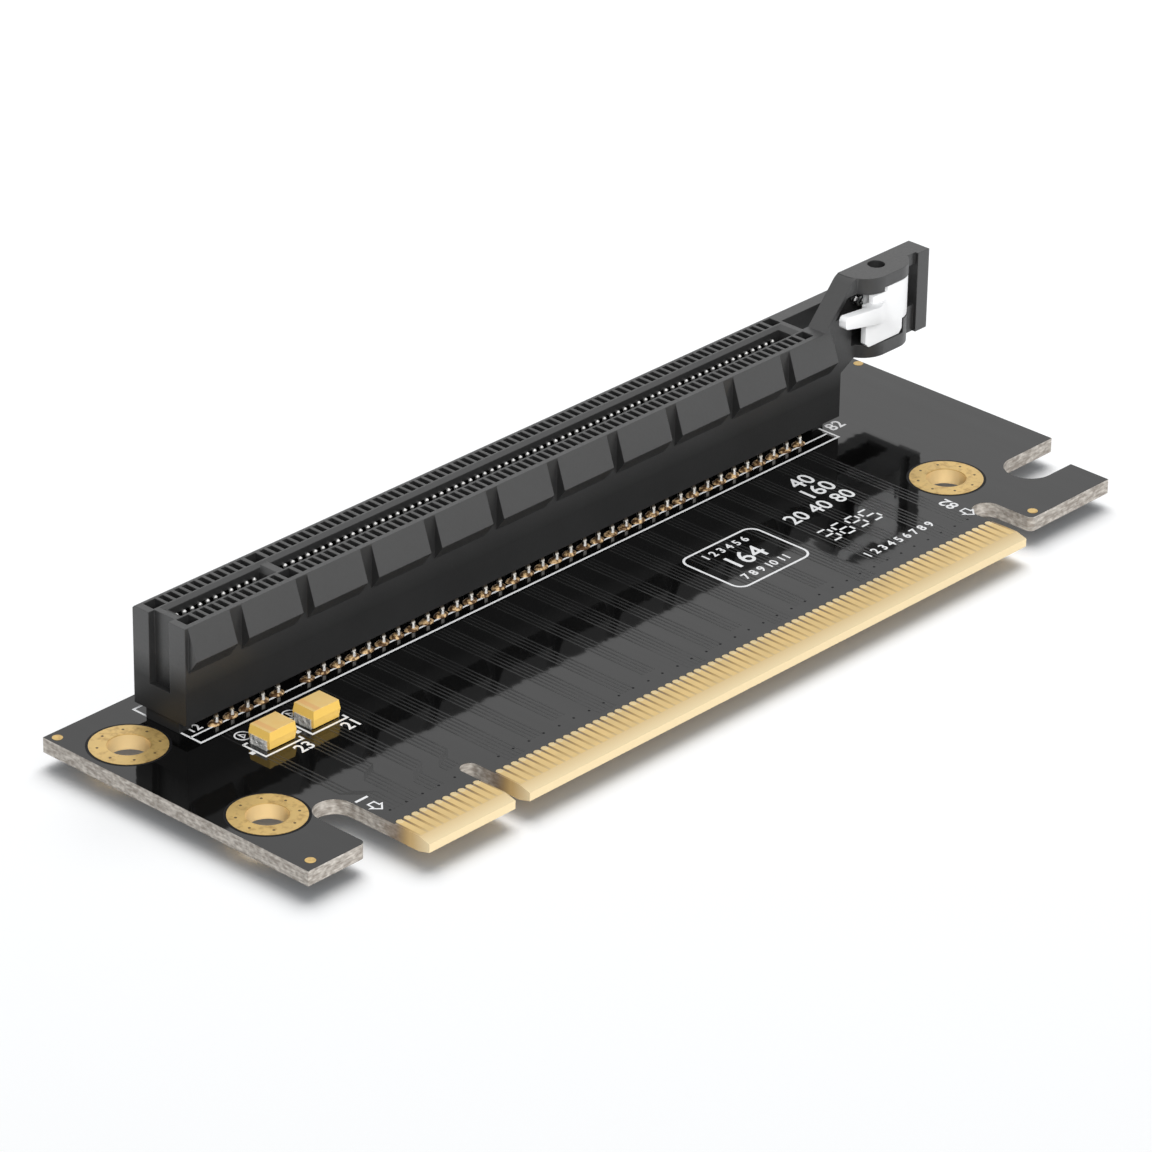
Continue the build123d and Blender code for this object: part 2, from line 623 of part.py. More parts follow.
def lever_nest():
    """Room for the lever between the decks, with a well for its hub and a doorway for its nose."""
    slope = (FRAME_TOP - HOUSING_TOP) / RAMP_RUN
    strut_run = STRUT_THICKNESS * sqrt(1 + slope * slope) / slope
    waist_z = HOUSING_TOP + NEST_WAIST
    outline = [
        (NEST_LEFT, SHELF_TOP),
        (SILL_LEFT, SHELF_TOP),
        (SILL_LEFT, NEST_SILL),
        (END_PLATE_LEFT, NEST_SILL),
        (END_PLATE_LEFT, DECK_HOLLOW),
        (DECK_STEP_X, DECK_HOLLOW),
        (DECK_STEP_X, DECK_UNDERSIDE),
        (RAMP_FOOT_X + (DECK_UNDERSIDE - HOUSING_TOP) / slope + strut_run, DECK_UNDERSIDE),
        (RAMP_FOOT_X + NEST_WAIST / slope + strut_run, waist_z),
        (NEST_LEFT, waist_z),
    ]
    nest = front_prism(outline, BOW_FRONT - OVERRUN, NEST_BACK)
    nest += upright(PIVOT_X, PIVOT_Y, HUB_RADIUS + HUB_GAP, SHELF_TOP, DECK_UNDERSIDE)
    door_left, door_right = NOSE_LEFT - DOORWAY_MARGIN, LEVER_RIGHT + DOORWAY_MARGIN
    door_front, door_rear = NEST_BACK - ROOT_OVERLAP, POCKET_FRONT + ROOT_OVERLAP
    return nest + block(door_left, door_right, door_front, door_rear, NEST_SILL, DECK_UNDERSIDE)


def pin_bore():
    """Tight hole for the pin in the shelf and the deck, widened at the top of the deck."""
    pin_top = FRAME_TOP - PIN_SINK
    bore = upright(PIVOT_X, PIVOT_Y, PIN_RADIUS, SHELF_TOP - PIN_GRIP, pin_top)
    return bore + upright(PIVOT_X, PIVOT_Y, PIN_BORE_RADIUS, pin_top, FRAME_TOP + OVERRUN)


def hook_pocket():
    top = FRAME_TOP + OVERRUN
    return block(POCKET_LEFT, POCKET_RIGHT, POCKET_FRONT, POCKET_REAR, POCKET_FLOOR, top)


def slot_housing():
    body = slot_body() + wedge_ribs()
    body += frame_plate() + end_plate()
    body += bow_decks()
    body -= lever_nest()
    body -= pin_bore()
    body -= hook_pocket()
    body -= card_slot()
    body += key_web()
    body -= core_outs()
    body -= end_recess()
    body -= contact_cavities()
    return body + posts_and_feet()


def contact_section(sign, path):
    """Side outline of a strip that follows the (reach, z) points of its path."""
    half = STRIP_THICKNESS / 2
    outer = [(reach + half, z) for reach, z in path]
    inner = [(reach - half, z) for reach, z in path]
    return [(SLOT_CENTRE_Y + sign * reach, z) for reach, z in outer + inner[::-1]]


def contact_path(row):
    """Tip behind the lip, bulge that meets the card, then down to the tail."""
    tip = (TIP_REACH, HOUSING_TOP - LIP_DEPTH - TIP_DROP)
    bulge = (BULGE_REACH, HOUSING_TOP - BULGE_DROP)
    if row == "inner":
        return [tip, bulge, (INNER_TAIL_REACH, TAIL_END)]
    return [tip, bulge, (OUTER_TAIL_REACH, TAIL_KNEE_HEIGHT), (OUTER_TAIL_REACH, TAIL_END)]


def contact_row(sign, row, places):
    """One row of loose contact strips, alike but for their place along the slot."""
    section = contact_section(sign, contact_path(row))
    half = STRIP_WIDTH / 2
    return [side_prism(section, x - half, x + half) for x in places]


def lever_plate():
    """Front plate of the lever, flush with the bulge of the frame and hollow behind its left end."""
    window_x = LEVER_LEFT + SPRING_WINDOW
    outline = [
        (LEVER_LEFT + LEVER_FOOT_ROUND, LEVER_LOW),
        (LEVER_FOOT_X - LEVER_FOOT_ROUND, LEVER_LOW),
        (LEVER_FOOT_X, LEVER_LOW + LEVER_FOOT_ROUND),
        (LEVER_FOOT_X, LEVER_FOOT_TOP),
        (LEVER_RIGHT - LEVER_SHOULDER, LEVER_FOOT_TOP),
        (LEVER_RIGHT, LEVER_FOOT_TOP + LEVER_SHOULDER),
        (LEVER_RIGHT, LEVER_CREST),
        (LEVER_STEP_X, LEVER_CREST),
        (LEVER_STEP_X, LEVER_HIGH),
        (window_x, LEVER_HIGH),
        (window_x, TAB_ROOT_TOP),
        (LEVER_LEFT, TAB_ROOT_TOP),
        (LEVER_LEFT, LEVER_LOW + LEVER_FOOT_ROUND),
    ]
    plan = bow_block(LEVER_SETBACK, LEVER_LOW, LEVER_CREST)
    plan += block(LEVER_LEFT, PIVOT_X, LEVER_FRONT, LEVER_BACK, LEVER_LOW, LEVER_CREST)
    hollow_low, hollow_high = LEVER_LOW - OVERRUN, LEVER_CREST + OVERRUN
    rear = LEVER_BACK + OVERRUN
    plan -= block(LEVER_LEFT - OVERRUN, LEVER_BODY_LEFT, LEVER_WALL_BACK, rear, hollow_low, hollow_high)
    return front_prism(outline, LEVER_FRONT, LEVER_BACK) & plan


def finger_tab():
    """Tapered tab for a fingertip, reaching to the left in front of the frame."""
    outline = [
        (TAB_LEFT, TAB_TIP_TOP - TAB_TIP_HEIGHT),
        (TAB_RIGHT, TAB_ROOT_TOP - TAB_ROOT_HEIGHT),
        (TAB_RIGHT, TAB_ROOT_TOP),
        (TAB_LEFT, TAB_TIP_TOP),
    ]
    tab = front_prism(outline, TAB_FRONT, LEVER_BACK)
    tip_edges = across_edges(tab, TAB_LEFT, TAB_TIP_TOP)
    tip_edges += across_edges(tab, TAB_LEFT, TAB_TIP_TOP - TAB_TIP_HEIGHT)
    return fillet(tip_edges, TAB_TIP_ROUND) & tab_plan()


def tab_plan():
    """Outline of the tab from above: it leaves the plate forward and runs along the frame."""
    outline = [
        (TAB_LEFT, TAB_FRONT),
        (LEVER_LEFT + TAB_BEND, TAB_FRONT),
        (TAB_RIGHT, LEVER_FRONT),
        (TAB_RIGHT, LEVER_WALL_BACK),
        (LEVER_LEFT, LEVER_WALL_BACK),
        (LEVER_LEFT, TAB_BACK),
        (TAB_LEFT, TAB_BACK),
    ]
    face = Polygon(*outline, align=None)
    return Pos(0, 0, LEVER_LOW) * extrude(face, LEVER_HIGH - LEVER_LOW)


def locking_nose():
    """Arm behind the pivot whose tip stands over the hook of the plugged card."""
    section = [
        (NOSE_ROOT_Y, NOSE_BOTTOM),
        (NOSE_TIP_Y, NOSE_BOTTOM),
        (NOSE_TIP_Y, NOSE_TOP - NOSE_SLOPE),
        (NOSE_TIP_Y - NOSE_SLOPE_RUN, NOSE_TOP),
        (NOSE_ROOT_Y, NOSE_TOP),
    ]
    return side_prism(section, NOSE_LEFT, LEVER_RIGHT)


def latch_lever():
    lever = lever_plate() + finger_tab() + locking_nose()
    lever += upright(PIVOT_X, PIVOT_Y, HUB_RADIUS, LEVER_LOW, LEVER_HIGH)
    running = PIN_RADIUS + PIN_CLEARANCE
    return lever - upright(PIVOT_X, PIVOT_Y, running, LEVER_LOW - OVERRUN, LEVER_HIGH + OVERRUN)


def latch_pivot_pin():
    pin = upright(PIVOT_X, PIVOT_Y, PIN_RADIUS, SHELF_TOP - PIN_GRIP, FRAME_TOP - PIN_SINK)
    return chamfer(pin.faces().sort_by(Axis.Z)[-1].edges(), PIN_TIP)


def latch_spring():
    """Small coil spring between the back wall of the nest and the lever, in short straight runs."""
    wire_half = SPRING_WIRE / 2
    start = LEVER_BACK + wire_half + SPRING_END_GAP
    length = NEST_BACK - LEVER_BACK - SPRING_WIRE - 2 * SPRING_END_GAP
    steps = SPRING_TURNS * SPRING_SIDES
    points = []
    for i in range(steps + 1):
        angle = 2 * pi * i / SPRING_SIDES
        x, z = SPRING_X + SPRING_RADIUS * cos(angle), SPRING_Z + SPRING_RADIUS * sin(angle)
        points.append((x, start + length * i / steps, z))
    wire = Polyline(*points)
    section = Plane(origin=wire @ 0, z_dir=wire % 0) * Rectangle(SPRING_WIRE, SPRING_WIRE)
    return sweep(section, wire, transition=Transition.RIGHT)


def capacitor_body(x):
    """Moulded body with drafted sides."""
    draft = 2 * CAPACITOR_DRAFT
    small = Rectangle(CAPACITOR_LENGTH - draft, CAPACITOR_WIDTH - draft)
    low = Pos(x, CAPACITOR_Y, CAPACITOR_STANDOFF) * small
    belt = Pos(x, CAPACITOR_Y, TERMINAL_RISE) * Rectangle(CAPACITOR_LENGTH, CAPACITOR_WIDTH)
    high = Pos(x, CAPACITOR_Y, CAPACITOR_HEIGHT) * small
    return loft([low, belt]) + loft([belt, high])


def capacitor_terminal(x, sign):
    """Flat metal tab that leaves the end of the body and folds under it."""
    end = x + sign * CAPACITOR_LENGTH / 2
    out = end + sign * TERMINAL_THICKNESS
    under = end - sign * TERMINAL_WRAP
    y0, y1 = CAPACITOR_Y - TERMINAL_WIDTH / 2, CAPACITOR_Y + TERMINAL_WIDTH / 2
    rise = block(*sorted((end, out)), y0, y1, 0, TERMINAL_RISE)
    return rise + block(*sorted((under, out)), y0, y1, 0, CAPACITOR_STANDOFF)


def save(name, solids):
    """Write one node; a list of loose solids becomes one group."""
    shape = Compound(children=solids) if isinstance(solids, list) else solids
    shape = Pos(-ORIGIN[0], -ORIGIN[1], -ORIGIN[2]) * shape
    export_step(shape, os.path.join("parts", name + ".step"))
    print(name, "solids", len(shape.solids()), "valid", all(s.is_valid for s in shape.solids()))


def save_contacts():
    """Contacts in groups: front or rear of the slot, side of the key, inner or outer tails."""
    for side, sign in (("front", -1), ("rear", 1)):
        for bank_name, bank in (("short", first_bank()), ("long", second_bank())):
            for row, places in staggered(bank).items():
                save(f"contacts_{side}_{bank_name}_{row}", contact_row(sign, row, places))


def build():
    os.makedirs("parts", exist_ok=True)
    save("circuit_board", circuit_board())
    save("edge_fingers_front", edge_fingers(0, 1))
    save("edge_fingers_rear", edge_fingers(BOARD_BOTTOM, -1))
    save("plated_holes", [plated_hole(x, y) for x, y in mount_places()])
    save("slot_housing", slot_housing())
    save_contacts()
    save("latch_lever", latch_lever())
    save("latch_pivot_pin", latch_pivot_pin())
    save("latch_spring", latch_spring())
    for name, x in CAPACITOR_CENTRES.items():
        save("capacitor_" + name + "_body", capacitor_body(x))
        save("capacitor_" + name + "_tab_1", capacitor_terminal(x, -1))
        save("capacitor_" + name + "_tab_2", capacitor_terminal(x, 1))


build()
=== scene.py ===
# %% [markdown]
# # A riser card with its card slot, dressed in Blender
# The solids of the card come from the CAD frame: the board, its gold, the slot housing, the
# contacts and the latch. This lesson gives them finishes, and adds what is too thin or too small
# for the solids: printed lines, tracks under the mask, solder joints and soft edges.

# %% Load the frame
import math

import bmesh
import bpy
from mathutils import Matrix, Vector


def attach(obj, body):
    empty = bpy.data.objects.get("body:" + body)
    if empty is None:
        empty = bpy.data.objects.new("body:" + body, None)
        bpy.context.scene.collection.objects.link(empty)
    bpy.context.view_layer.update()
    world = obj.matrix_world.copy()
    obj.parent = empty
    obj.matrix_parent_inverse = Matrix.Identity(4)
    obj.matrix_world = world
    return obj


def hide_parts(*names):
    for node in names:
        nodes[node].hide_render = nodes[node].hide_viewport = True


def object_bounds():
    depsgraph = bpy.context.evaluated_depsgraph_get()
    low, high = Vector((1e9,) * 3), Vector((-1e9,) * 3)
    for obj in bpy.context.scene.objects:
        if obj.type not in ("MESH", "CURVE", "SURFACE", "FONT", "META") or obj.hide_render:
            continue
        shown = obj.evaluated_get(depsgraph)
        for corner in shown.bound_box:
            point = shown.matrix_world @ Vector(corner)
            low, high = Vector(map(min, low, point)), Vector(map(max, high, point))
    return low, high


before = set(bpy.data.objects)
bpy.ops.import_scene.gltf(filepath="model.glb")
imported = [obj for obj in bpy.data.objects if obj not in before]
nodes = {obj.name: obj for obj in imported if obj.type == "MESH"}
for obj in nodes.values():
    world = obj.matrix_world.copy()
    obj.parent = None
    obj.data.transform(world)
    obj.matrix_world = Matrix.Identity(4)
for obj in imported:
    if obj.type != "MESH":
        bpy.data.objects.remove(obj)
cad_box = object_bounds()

cad_size_mm = [round(1000 * side, 2) for side in cad_box[1] - cad_box[0]]
print("CAD nodes:", len(nodes), "size of the card in mm:", cad_size_mm)

# %% [markdown]
# ## Where things are
# A circuit board is drawn in millimetres from a corner or a pad. Here x is counted from the first
# gold finger, y from the front edge of the tongue and z from the upper face of the board. Blender
# works in metres round the middle of the card's underside, so one small function turns card
# millimetres into Blender metres, and every piece below is placed with it. The contacts stand in
# two banks, because a key web parts the slot.

# %% Card millimetres to Blender metres
CARD_ORIGIN_MM = Vector((45.15, 19.42, -2.87))
MM = 0.001


def at(x, y, z=0.0):
    """A point given in card millimetres, in Blender metres."""
    return (Vector((x, y, z)) - CARD_ORIGIN_MM) * MM


PITCH = 1.0
SECOND_BANK_X = 13.0
FIRST_BANK = [PITCH * i for i in range(11)]
SECOND_BANK = [SECOND_BANK_X + PITCH * i for i in range(71)]
SLOT_Y = 32.55
BOARD_BOTTOM = -1.57
print("contacts a side:", len(FIRST_BANK + SECOND_BANK))
print("upper face of the board at", round(at(0, 0, 0).z, 5), "m")

# %% [markdown]
# ## Camera
# The photograph was taken with a long lens, so parallel edges of the card stay almost parallel. The
# camera stands a little over half a metre off, in front of the left end, and looks down at 28
# degrees. It could be aimed with a constraint, but three fixed directions, right, up and back, keep
# the small roll of the photograph too. They become the columns of its matrix.

# %% Camera
CAMERA_PLACE = (-334.79, -326.72, 271.39)
CAMERA_RIGHT = (0.68426, -0.72913, 0.01317)
CAMERA_UP = (0.32997, 0.32567, 0.88603)
CAMERA_BACK = (-0.65032, -0.60193, 0.46343)
LENS_MM, SENSOR_MM = 188.0, 36.0


def new_object(name, data):
    """An object of that name, in the scene."""
    thing = bpy.data.objects.new(name, data)
    bpy.context.scene.collection.objects.link(thing)
    return thing


def stand_camera():
    lens = bpy.data.cameras.new("long_lens")
    lens.lens = LENS_MM
    lens.sensor_width = SENSOR_MM
    lens.clip_start = 0.01
    lens.clip_end = 10.0
    camera = new_object("camera", lens)
    turn = Matrix((CAMERA_RIGHT, CAMERA_UP, CAMERA_BACK)).transposed().to_4x4()
    camera.matrix_world = Matrix.Translation(at(*CAMERA_PLACE)) @ turn
    bpy.context.scene.camera = camera
    return camera


camera = stand_camera()
print("camera distance in m:", round(camera.location.length, 3))

# %% [markdown]
# ## Light and floor
# A packshot stands on a white sweep under large soft boxes. The glossy board mirrors whatever is
# above it, so what the camera sees mirrored is an even white: that alone gives the black mask its
# grey sheen. Light that the card throws on the floor is kept dim, so the shadow stays near neutral.
# Light and shadow are set apart, as a retoucher would do it. One soft box lights the floor alone
# from behind the card, so the shadow falls forward, out from under the tongue and the left edge.
# Two others light the card alone: a strong one above the camera and a little to its right, so the
# housing throws no shadow on the prints, and a weak one from behind for the far faces. One lamp for
# everything would be simpler, but it can't cast this shadow and light the prints as well.

# %% White surroundings
WHITE_ROOM = 0.24
ROOM_TINT = (0.90, 0.95, 1.0)


def white_room():
    """Dim white for the light that it gives, full white where it is seen or mirrored."""
    world = bpy.data.worlds.new("white_room")
    world.use_nodes = True
    tree = world.node_tree
    tree.nodes.clear()
    out = tree.nodes.new("ShaderNodeOutputWorld")
    lit = tree.nodes.new("ShaderNodeBackground")
    lit.inputs["Color"].default_value = (*ROOM_TINT, 1.0)
    lit.inputs["Strength"].default_value = WHITE_ROOM
    seen = tree.nodes.new("ShaderNodeBackground")
    seen.inputs["Color"].default_value = (1.0, 1.0, 1.0, 1.0)
    seen.inputs["Strength"].default_value = 1.0
    path = tree.nodes.new("ShaderNodeLightPath")
    first = tree.nodes.new("ShaderNodeMath")
    first.operation = "LESS_THAN"
    first.inputs[1].default_value = 0.5
    mirrored = tree.nodes.new("ShaderNodeMath")
    mirrored.operation = "MULTIPLY"
    either = tree.nodes.new("ShaderNodeMath")
    either.operation = "MAXIMUM"
    mix = tree.nodes.new("ShaderNodeMixShader")
    tree.links.new(path.outputs["Diffuse Depth"], first.inputs[0])
    tree.links.new(path.outputs["Is Glossy Ray"], mirrored.inputs[0])
    tree.links.new(first.outputs[0], mirrored.inputs[1])
    tree.links.new(path.outputs["Is Camera Ray"], either.inputs[0])
    tree.links.new(mirrored.outputs[0], either.inputs[1])
    tree.links.new(either.outputs[0], mix.inputs[0])
    tree.links.new(lit.outputs[0], mix.inputs[1])
    tree.links.new(seen.outputs[0], mix.inputs[2])
    tree.links.new(mix.outputs[0], out.inputs["Surface"])
    bpy.context.scene.world = world
    bpy.context.scene.view_settings.view_transform = "Standard"
    bpy.context.scene.view_settings.look = "None"


white_room()
print("light of the room:", WHITE_ROOM)

# %% Soft boxes
CARD_MIDDLE = (45.0, 20.0, 0.0)
FLOOR_BOX_PLACE = (719.0, 644.0, 1310.0)
FRONT_BOX_PLACE = (-300.0, -556.0, 436.0)
REAR_BOX_PLACE = (481.0, 424.0, 535.0)


def soft_box(name, place, size, power):
    """Square area light, its size in metres, its place in card millimetres, aimed at the card."""
    light = bpy.data.lights.new(name, "AREA")
    light.shape = "SQUARE"
    light.size = size
    light.energy = power
    box = new_object(name, light)
    spot = at(*place)
    turn = (at(*CARD_MIDDLE) - spot).to_track_quat("-Z", "Y").to_matrix().to_4x4()
    box.matrix_world = Matrix.Translation(spot) @ turn
    box.visible_camera = False
    box.visible_glossy = False
    return box


floor_box = soft_box("soft_box_floor", FLOOR_BOX_PLACE, size=1.30, power=30.0)
front_box = soft_box("soft_box_front", FRONT_BOX_PLACE, size=0.45, power=6.9)
rear_box = soft_box("soft_box_rear", REAR_BOX_PLACE, size=0.45, power=1.2)

# %% [markdown]
# ## Finishes
# Every finish is a Principled shader with a little texture of its own. A small helper makes the
# material and hands back its nodes and links, and a second one makes noise on the object's own
# coordinates, which are metres here, so a scale of 1000 gives one ripple per millimetre. Painted
# image textures would show as much, but noise needs no unwrapped mesh and stays sharp close up.

# %% Helpers for finishes
def new_finish(name):
    """A material with a Principled shader: (material, nodes, links, shader)."""
    finish = bpy.data.materials.new(name)
    finish.use_nodes = True
    tree = finish.node_tree
    return finish, tree.nodes, tree.links, tree.nodes["Principled BSDF"]


def own_coordinates(made, links, scale=(1.0, 1.0, 1.0)):
    """The object's own coordinates, stretched by a scale for each axis."""
    place = made.new("ShaderNodeTexCoord")
    stretch = made.new("ShaderNodeMapping")
    stretch.inputs["Scale"].default_value = scale
    links.new(place.outputs["Object"], stretch.inputs["Vector"])
    return stretch.outputs["Vector"]


def own_axes(made, links):
    """X, Y and Z of the object's own coordinates."""
    axes = made.new("ShaderNodeSeparateXYZ")
    links.new(own_coordinates(made, links), axes.inputs["Vector"])
    return axes.outputs["X"], axes.outputs["Y"], axes.outputs["Z"]


def noise(made, links, scale, detail=3.0, stretch=(1.0, 1.0, 1.0)):
    texture = made.new("ShaderNodeTexNoise")
    texture.inputs["Scale"].default_value = scale
    texture.inputs["Detail"].default_value = detail
    links.new(own_coordinates(made, links, stretch), texture.inputs["Vector"])
    return texture.outputs["Fac"]


# %% Helpers that mix values
def between(made, links, value, low, high, to_low=0.0, to_high=1.0):
    """Maps a value from one range to another, held at the ends."""
    ramp = made.new("ShaderNodeMapRange")
    ramp.inputs["From Min"].default_value = low
    ramp.inputs["From Max"].default_value = high
    ramp.inputs["To Min"].default_value = to_low
    ramp.inputs["To Max"].default_value = to_high
    links.new(value, ramp.inputs["Value"])
    return ramp.outputs["Result"]


def by_y(made, links, y, near, far):
    """0 at one distance from the tongue's front edge, 1 at another, in card millimetres."""
    return between(made, links, y, at(0, near, 0).y, at(0, far, 0).y)


def by_z(made, links, z, low, high, to_low=0.0, to_high=1.0):
    """Maps a height between two levels, in card millimetres."""
    return between(made, links, z, at(0, 0, low).z, at(0, 0, high).z, to_low, to_high)


def mixed(made, links, share, first, second):
    """A colour between two colours or colour outputs."""
    mix = made.new("ShaderNodeMix")
    mix.data_type = "RGBA"
    links.new(share, mix.inputs["Factor"])
    for socket, colour in ((mix.inputs["A"], first), (mix.inputs["B"], second)):
        if isinstance(colour, tuple):
            socket.default_value = (*colour, 1.0)
        else:
            links.new(colour, socket)
    return mix.outputs["Result"]


def arithmetic(made, links, operation, first, second=0.0):
    node = made.new("ShaderNodeMath")
    node.operation = operation
    for socket, value in ((node.inputs[0], first), (node.inputs[1], second)):
        if isinstance(value, (int, float)):
            socket.default_value = value
        else:
            links.new(value, socket)
    return node.outputs[0]


def bump(made, links, shader, height, strength, distance, before=None):
    node = made.new("ShaderNodeBump")
    node.inputs["Strength"].default_value = strength
    node.inputs["Distance"].default_value = distance
    links.new(height, node.inputs["Height"])
    if before is not None:
        links.new(before, node.inputs["Normal"])
    links.new(node.outputs["Normal"], shader.inputs["Normal"])


# %% [markdown]
# ### Board: black mask, laminate edge and bevelled tongue
# A finished board is a sandwich. Its faces wear a glossy black lacquer, its cut edges show the
# grey-beige glass laminate in fine layers, and the tongue has no lacquer, so the laminate shows
# between the fingers and on the ground bevel. Separate shells could carry each of these, but the
# solid is one mesh, so the shader chooses by height and by distance from the front edge, both read
# from the object's own coordinates.

# %% Colours and borders of the board
MASK_BLACK = (0.003, 0.003, 0.003)
LAMINATE = (0.56, 0.52, 0.47)
LAMINATE_DARK = (0.25, 0.22, 0.19)
# Painted shade between the fingers' ends, darkest at the lacquer's edge and fading forward.
TONGUE_PAINTED_SHADE = (0.15, 0.085, 0.035)
TONGUE_BARE = (0.56, 0.38, 0.16)
BEVEL_CREAM = (0.78, 0.63, 0.38)
BEVEL_FADE_Y = (0.2, 2.2)
PAINTED_SHADE_FADE_Y = (2.4, 4.2)
TONGUE_FADE_Y = (3.0, 6.5)
MASK_END_Y = 4.40
TONGUE_ENDS_X = (-0.65, 83.65)
TONGUE_SPARE = 0.5
LAYER_STRETCH = (900.0, 900.0, 5200.0)
FIBRE_STRETCH = (1700.0, 1700.0, 2600.0)
STREAK_STRETCH = (420.0, 26.0, 60.0)
WAVE_STRETCH = (60.0, 60.0, 60.0)
print("lacquer ends", MASK_END_Y, "mm behind the tongue's front edge")


# %% Board finish
def laminate_colour(made, links):
    """Layers of glass cloth with a crossing grain."""
    layers = noise(made, links, 1.0, 4.0, LAYER_STRETCH)
    fibres = noise(made, links, 1.0, 2.0, FIBRE_STRETCH)
    grain = arithmetic(made, links, "MULTIPLY", layers, fibres)
    return mixed(made, links, between(made, links, grain, 0.15, 0.38), LAMINATE_DARK, LAMINATE)


def tongue_colour(made, links, y):
    """Cream on the bevel, bare laminate behind it, and painted shade between the fingers' ends, darkest at
    the lacquer's edge.
    """
    front = mixed(made, links, by_y(made, links, y, *BEVEL_FADE_Y), BEVEL_CREAM, TONGUE_BARE)
    return mixed(made, links, by_y(made, links, y, *PAINTED_SHADE_FADE_Y), front, TONGUE_PAINTED_SHADE)


def board_finish():
    """Lacquer, laminate or tongue by place, with faint waves that bend what is mirrored."""
    finish, made, links, shader = new_finish("black_solder_mask")
    x, y, z = own_axes(made, links)
    hair = 0.01 * MM
    on_top = arithmetic(made, links, "GREATER_THAN", z, at(0, 0, 0).z - hair)
    on_low = arithmetic(made, links, "LESS_THAN", z, at(0, 0, BOARD_BOTTOM).z + hair)
    on_face = arithmetic(made, links, "MAXIMUM", on_top, on_low)
    past_left = arithmetic(made, links, "LESS_THAN", x, at(TONGUE_ENDS_X[0] - TONGUE_SPARE, 0, 0).x)
    past_right = arithmetic(made, links, "GREATER_THAN", x, at(TONGUE_ENDS_X[1] + TONGUE_SPARE, 0, 0).x)
    beside = arithmetic(made, links, "MAXIMUM", past_left, past_right)
    behind = arithmetic(made, links, "GREATER_THAN", y, at(0, MASK_END_Y, 0).y)
    lacquer = arithmetic(made, links, "MULTIPLY", on_face, arithmetic(made, links, "MAXIMUM", behind, beside))
    in_front = arithmetic(made, links, "SUBTRACT", 1.0, by_y(made, links, y, *TONGUE_FADE_Y))
    in_tongue = arithmetic(made, links, "SUBTRACT", 1.0, beside)
    tongue_share = arithmetic(made, links, "MULTIPLY", in_front, in_tongue)
    bare = mixed(made, links, tongue_share, laminate_colour(made, links), tongue_colour(made, links, y))
    links.new(mixed(made, links, lacquer, bare, MASK_BLACK), shader.inputs["Base Color"])
    links.new(between(made, links, lacquer, 0.0, 1.0, 0.62, 0.055), shader.inputs["Roughness"])
    streaky = noise(made, links, 1.0, 2.0, STREAK_STRETCH)
    broad = arithmetic(made, links, "MULTIPLY", noise(made, links, 1.0, 1.0, WAVE_STRETCH), 2.0)
    bump(made, links, shader, arithmetic(made, links, "ADD", streaky, broad), 1.0, 0.018 * MM)
    return finish


BOARD_FINISH = board_finish()
print("board finish ready")

# %% [markdown]
# ### Gold
# Edge fingers and screw rings are copper, plated with nickel and gold. Handled gold is satin, not a
# mirror, so the roughness is near a third and wavers a little. The rings in the photograph have
# brown spots, and the barrels inside them are brighter, which is painted here as a paler gold: a
# painted highlight. Noise makes the spots and the height makes the barrel, in one shader, so a ring
# and its barrel stay one solid.

# %% Gold finishes
GOLD = (0.83, 0.605, 0.27)
RING_GOLD = (0.80, 0.55, 0.20)
# Painted highlight: the barrels are the same gold as the rings, painted brighter.
BARREL_HIGHLIGHT_GOLD = (0.98, 0.74, 0.38)
STAIN_BROWN = (0.42, 0.24, 0.07)
BARREL_FADE_Z = (-0.12, -0.02)


def gold_finish(name, colour, roughness, metallic, barrel_highlight=None, stain=0.0):
    """Satin gold; stain is how brown its spots are, and the colour given for below the board's upper face is
    a painted highlight on the barrel.
    """
    finish, made, links, shader = new_finish(name)
    cloudy = noise(made, links, 420.0)
    darker = tuple(0.88 * c for c in colour)
    face = mixed(made, links, between(made, links, cloudy, 0.35, 0.65), darker, colour)
    if stain > 0.0:
        spots = noise(made, links, 1500.0, 5.0)
        face = mixed(made, links, between(made, links, spots, 0.50, 0.72, 0.0, stain), face, STAIN_BROWN)
    if barrel_highlight:
        _, _, z = own_axes(made, links)
        face = mixed(made, links, by_z(made, links, z, *BARREL_FADE_Z), barrel_highlight, face)
    links.new(face, shader.inputs["Base Color"])
    rough = between(made, links, cloudy, 0.3, 0.7, roughness - 0.06, roughness + 0.06)
    links.new(rough, shader.inputs["Roughness"])
    shader.inputs["Metallic"].default_value = metallic
    bump(made, links, shader, noise(made, links, 5200.0, 2.0), 0.10, 0.01 * MM)
    return finish


FINGER_GOLD = gold_finish("finger_gold", GOLD, 0.36, 0.85)
HOLE_GOLD = gold_finish("ring_gold", RING_GOLD, 0.36, 0.45, barrel_highlight=BARREL_HIGHLIGHT_GOLD, stain=0.75)
print("gold finishes ready")

# %% [markdown]
# ### Moulded plastics
# The housing is glass-filled black plastic with a fine pebbled skin, and the latch lever is white
# plastic, smoother. In the photograph the foot of the housing is darker than its ribs, and a lower
# gloss near the board is painted shade for that. The Bevel node softens the housing's edges in the
# shading alone, because real rounds on a comb of 164 cavities would cost too many faces.

# %% Plastic finishes
HOUSING_GREY = (0.019, 0.019, 0.019)
LEVER_GREY = (0.87, 0.87, 0.87)
FULL_GLOSS_Z = 7.2
GLOSS_FADE = 2.6


